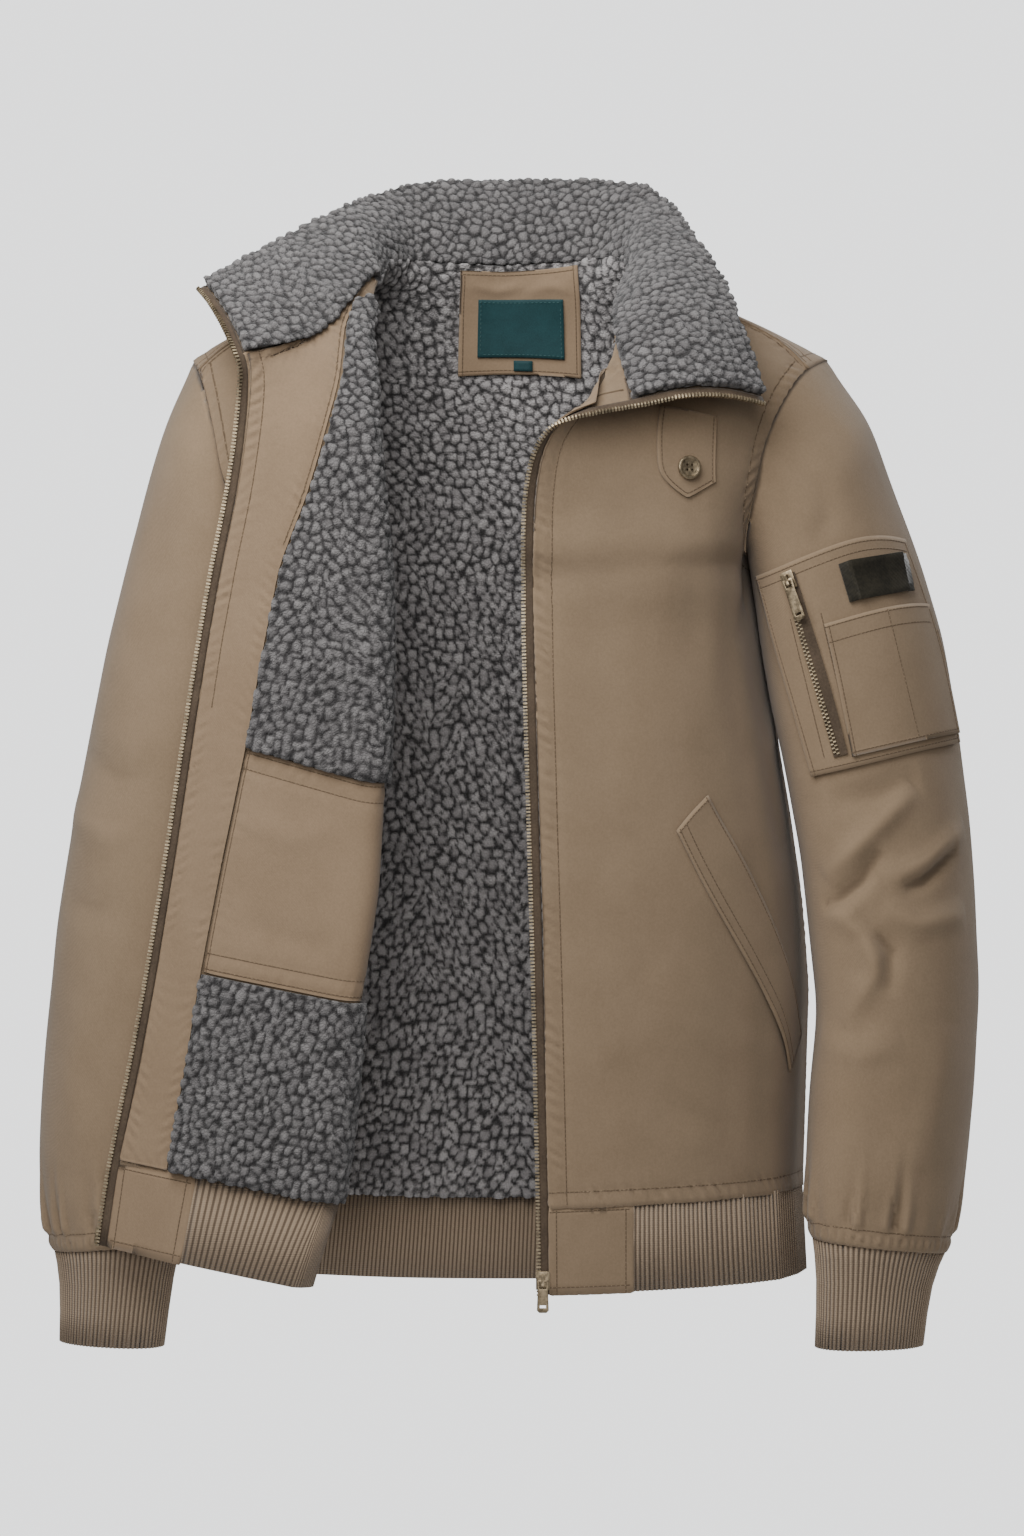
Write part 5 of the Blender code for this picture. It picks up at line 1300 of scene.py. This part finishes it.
def ring_chains(form):
    """Rows of neighbouring vertices along the rims of a ribbed wall, each walked in the order of its ribs."""
    long = {edge for edge in form.edges if edge.calc_length() > RIB_LONG * MM}
    near = {}
    for face in form.faces:
        short = [edge for edge in face.edges if edge not in long]
        if len(short) == 1 and short[0].calc_length() < RIB_SHORT * MM:
            for v in short[0].verts:
                near.setdefault(v, {})[short[0].other_vert(v)] = True
    chains = []
    left = set(near)
    for first in near:
        if first not in left:
            continue
        left.discard(first)
        group = [first]
        for v in group:
            for other in near[v]:
                if other in left:
                    left.discard(other)
                    group.append(other)
        ends = [v for v in group if len(near[v]) == 1]
        if ends:
            start = max(ends, key=lambda v: v.co.x)
            chain = [start]
        else:
            start = max(group, key=lambda v: abs(v.co.x))
            chain = [start, min(near[start], key=lambda v: v.co.y)]
        while True:
            onward = [v for v in near[chain[-1]] if v not in chain[-3:] and v is not start]
            if not onward:
                break
            chain.append(onward[0])
        if ends:
            chain = [v for v, other in zip(chain, chain[1:] + chain[-2:-1])
                     if abs((v.co - other.co).length / MM - RIB_WALL) > RIB_SLACK or v not in ends]
        if len(chain) > RIB_FEWEST:
            chains.append(chain)
    return chains


def number_ribs(form):
    """Keep for each vertex the number of its rib, and whether it is on a ridge or in a groove."""
    wale = form.verts.layers.float.new("wale")
    raised = form.verts.layers.float.new("raised")
    ridges = []
    numbered = set()
    for chain in ring_chains(form):
        for k, v in enumerate(chain):
            v[wale] = k / 2
            v[raised] = -1.0 if k % 2 else 1.0
        numbered.update(chain)
        ridges += chain[::2]
    tree = tree_of([v.co for v in ridges])
    for v in form.verts:
        if v not in numbered:
            v[wale] = ridges[tree.find(v.co)[1]][wale]


def hold_ribs(form):
    """Keep the rims and corners of a ribbed band sharp."""
    crease = crease_of(form)
    for edge in form.edges:
        narrow = any(len(f.verts) == 3 or f.calc_area() < RIB_CAP * MM * MM for f in edge.link_faces)
        if narrow and edge.calc_length() < RIB_LONG * MM or turns_by(edge, RIB_CORNER):
            edge[crease] = 1.0


def make_rib(node, level):
    """One band of rib knit, its ribs rounded between narrow grooves, with its rims held."""
    piece = copy_of(node)
    reform(piece, number_ribs)
    edit(piece, join_triangles)
    reform(piece, hold_ribs)
    divide(piece, level)
    places, normals = points_of(piece.data)
    put_points(piece.data, places + normals * (RIB_ROUND * kept_numbers(piece.data, "raised"))[:, None])
    piece.data.materials.append(RIB)
    return piece


def kept_numbers(mesh, name):
    """Numbers that a piece keeps for each vertex."""
    values = np.empty(len(mesh.vertices), dtype=np.float32)
    mesh.attributes[name].data.foreach_get("value", values)
    return values.astype(float)


def make_plain(node, finish, wide):
    """Copy of a small node with its edges softened by a width."""
    piece = copy_of(node, join_triangles)
    if wide:
        soften = piece.modifiers.new("soften", "BEVEL")
        soften.width = wide * MM
        soften.segments = 2
        soften.limit_method = "ANGLE"
        soften.angle_limit = math.radians(SOFTENED_FROM)
        bpy.ops.object.modifier_apply(modifier=soften.name)
    bpy.ops.object.shade_smooth_by_angle(angle=math.radians(SMOOTH_BELOW))
    store(piece.data, "hollow", np.zeros(len(piece.data.vertices)))
    piece.data.materials.append(finish)
    return piece


def settle(piece, node, body=BODY):
    """Tie a finished piece to its body and hide the node it stands for."""
    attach(piece, body)
    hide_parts(node)


# ---------------------------------------------------------------- zips


def toothed(node, front):
    """A zip tape and the brass teeth along its free edge."""
    tape = cloth_from(node, TAPE_WALL, 2, None)
    store(tape.data, "hollow", np.zeros(len(tape.data.vertices)))
    tape.data.materials.append(TAPE)
    settle(tape, node)
    made[node] = tape
    surface = Surface(tape)
    all_shown(tape)
    counts = [len(spaced(run, STITCH_PITCH)) for run in surface.chains]
    sides = [run for run, count in zip(surface.chains, counts) if count > 0.5 * max(counts)]
    panel = surfaces[front]
    edge = max(sides, key=lambda run: np.mean([np.linalg.norm(panel.snap(p)[0] - p) for p in run[::6]]))
    run = spaced(edge, TOOTH_PITCH)
    form = bmesh.new()
    for point, tangent in zip(run, np.gradient(run, axis=0)):
        along = unit(tangent)
        inner = panel.snap(point)[0] - point
        inner = unit(inner - along * (inner @ along))
        up = np.cross(along, inner)
        block_of(form, point - inner * TOOTH_IN - up * TOOTH_DOWN, along, inner, up, TOOTH)
    return piece_from(form, node + "_teeth", TEETH)


def closed_teeth(name, marks, surface):
    """Two rows of brass teeth meshed together on a closed zip."""
    run = spaced(surface.line("front", marks, CLOSED_STEP), CLOSED_PITCH)
    form = bmesh.new()
    for k, (point, tangent) in enumerate(zip(run, np.gradient(run, axis=0))):
        place, normal = surface.snap(point)
        along = unit(tangent)
        side = unit(np.cross(normal, along))
        shift = side * (CLOSED_SIDE if k % 2 else -CLOSED_SIDE)
        block_of(form, place + normal * CLOSED_OUT + shift, along, side, normal, CLOSED_TOOTH)
    return piece_from(form, name, TEETH)


# ---------------------------------------------------------------- making it all

surfaces = {}
made = {}
stitches = {THREAD: bmesh.new(), LABEL_THREAD: bmesh.new(), SEAM_SHADE: bmesh.new()}
for number, (node, wall, level, cell, away, finish) in enumerate(CLOTH_PLAN):
    piece, surface = make_cloth(node, wall, level, cell, away, finish, 100 + 17 * number)
    settle(piece, node)
    surfaces[node] = surface
    made[node] = piece

for number, (node, wall, level, cell, away, pressed_by) in enumerate(PILE_PLAN):
    piece = make_pile(node, wall, level, cell, away, pressed_by, 900 + number)
    settle(piece, node)
    made[node] = piece

for node in ("hem_rib", "cuff_left", "cuff_right"):
    made[node] = make_rib(node, 1)
    settle(made[node], node)

rows = [
    (piece_from(stitches[THREAD], "topstitching", THREAD), "back"),
    (piece_from(stitches[SEAM_SHADE], "seam_shade_strips", SEAM_SHADE), "back"),
    (piece_from(stitches[LABEL_THREAD], "label_stitching", LABEL_THREAD), "neck_label"),
    (toothed("zip_tape_left", "front_left"), "zip_pin"),
    (toothed("zip_tape_right", "front_right"), "zip_pin"),
    (closed_teeth("sleeve_zip_teeth", SLEEVE_TEETH, surfaces["sleeve_panel"]), "zip_pin"),
]
for piece, slot in rows:
    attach(piece, BODY)

for node, finish, body, wide in (
    ("sleeve_zip_tape", TAPE, BODY, 0.0), ("sleeve_badge", BADGE, BODY, METAL_EDGE),
    ("tab_button", BRASS, BODY, METAL_EDGE), ("zip_slider", BRASS, BODY, METAL_EDGE),
    ("sleeve_slider", BRASS, BODY, METAL_EDGE), ("zip_pin", BRASS, BODY, METAL_EDGE),
    ("zip_pull", BRASS, "zip_pull", METAL_EDGE), ("sleeve_pull", BRASS, "sleeve_pull", METAL_EDGE),
):
    made[node] = make_plain(node, finish, wide)
    settle(made[node], node, body)


# ---------------------------------------------------------------- stage, light and camera


def make_stage():
    """Pale floor well below the hanging jacket."""
    bpy.ops.object.select_all(action="DESELECT")
    bpy.ops.mesh.primitive_circle_add(vertices=96, radius=STAGE_HALF, fill_type="NGON", location=(0, 0, 0))
    floor = bpy.context.object
    floor.name = "floor"
    for vertex in floor.data.vertices:
        vertex.co.z = FLOOR_Z
    floor.data.materials.append(stage_finish())


def make_light():
    """Even glow from all round, a soft box at the upper left front, a weak front fill and a back light."""
    world = bpy.data.worlds.new("studio")
    bpy.context.scene.world = world
    world.use_nodes = True
    tree = world.node_tree
    tree.nodes.clear()
    seen = tree.nodes.new("ShaderNodeBackground")
    seen.inputs["Color"].default_value = BACKDROP_TINT
    seen.inputs["Strength"].default_value = BACKDROP_GLOW
    glow = tree.nodes.new("ShaderNodeBackground")
    glow.inputs["Color"].default_value = ROOM_TINT
    glow.inputs["Strength"].default_value = ROOM_GLOW
    path = tree.nodes.new("ShaderNodeLightPath")
    pick = tree.nodes.new("ShaderNodeMixShader")
    out = tree.nodes.new("ShaderNodeOutputWorld")
    tree.links.new(path.outputs["Is Camera Ray"], pick.inputs[0])
    tree.links.new(glow.outputs[0], pick.inputs[1])
    tree.links.new(seen.outputs[0], pick.inputs[2])
    tree.links.new(pick.outputs[0], out.inputs["Surface"])
    for name, kind, power, size, place in LIGHTS:
        light = bpy.data.lights.new(name, kind)
        light.energy = power
        if kind == "AREA":
            light.size = size
        else:
            light.angle = math.radians(size)
        lamp = bpy.data.objects.new(name, light)
        lamp.location = place
        way = Vector(LIGHT_AIM) - Vector(place)
        lamp.rotation_euler = way.to_track_quat("-Z", "Y").to_euler()
        bpy.context.scene.collection.objects.link(lamp)


def make_camera():
    """Level camera in front of the jacket."""
    data = bpy.data.cameras.new("camera")
    data.sensor_fit = "VERTICAL"
    data.sensor_height = SENSOR_HEIGHT
    data.lens = CAMERA_LENS
    data.clip_end = 50
    camera = bpy.data.objects.new("camera", data)
    camera.location = CAMERA_PLACE
    camera.rotation_euler = (math.radians(90), 0, 0)
    bpy.context.scene.collection.objects.link(camera)
    bpy.context.scene.camera = camera


make_stage()
make_light()
make_camera()
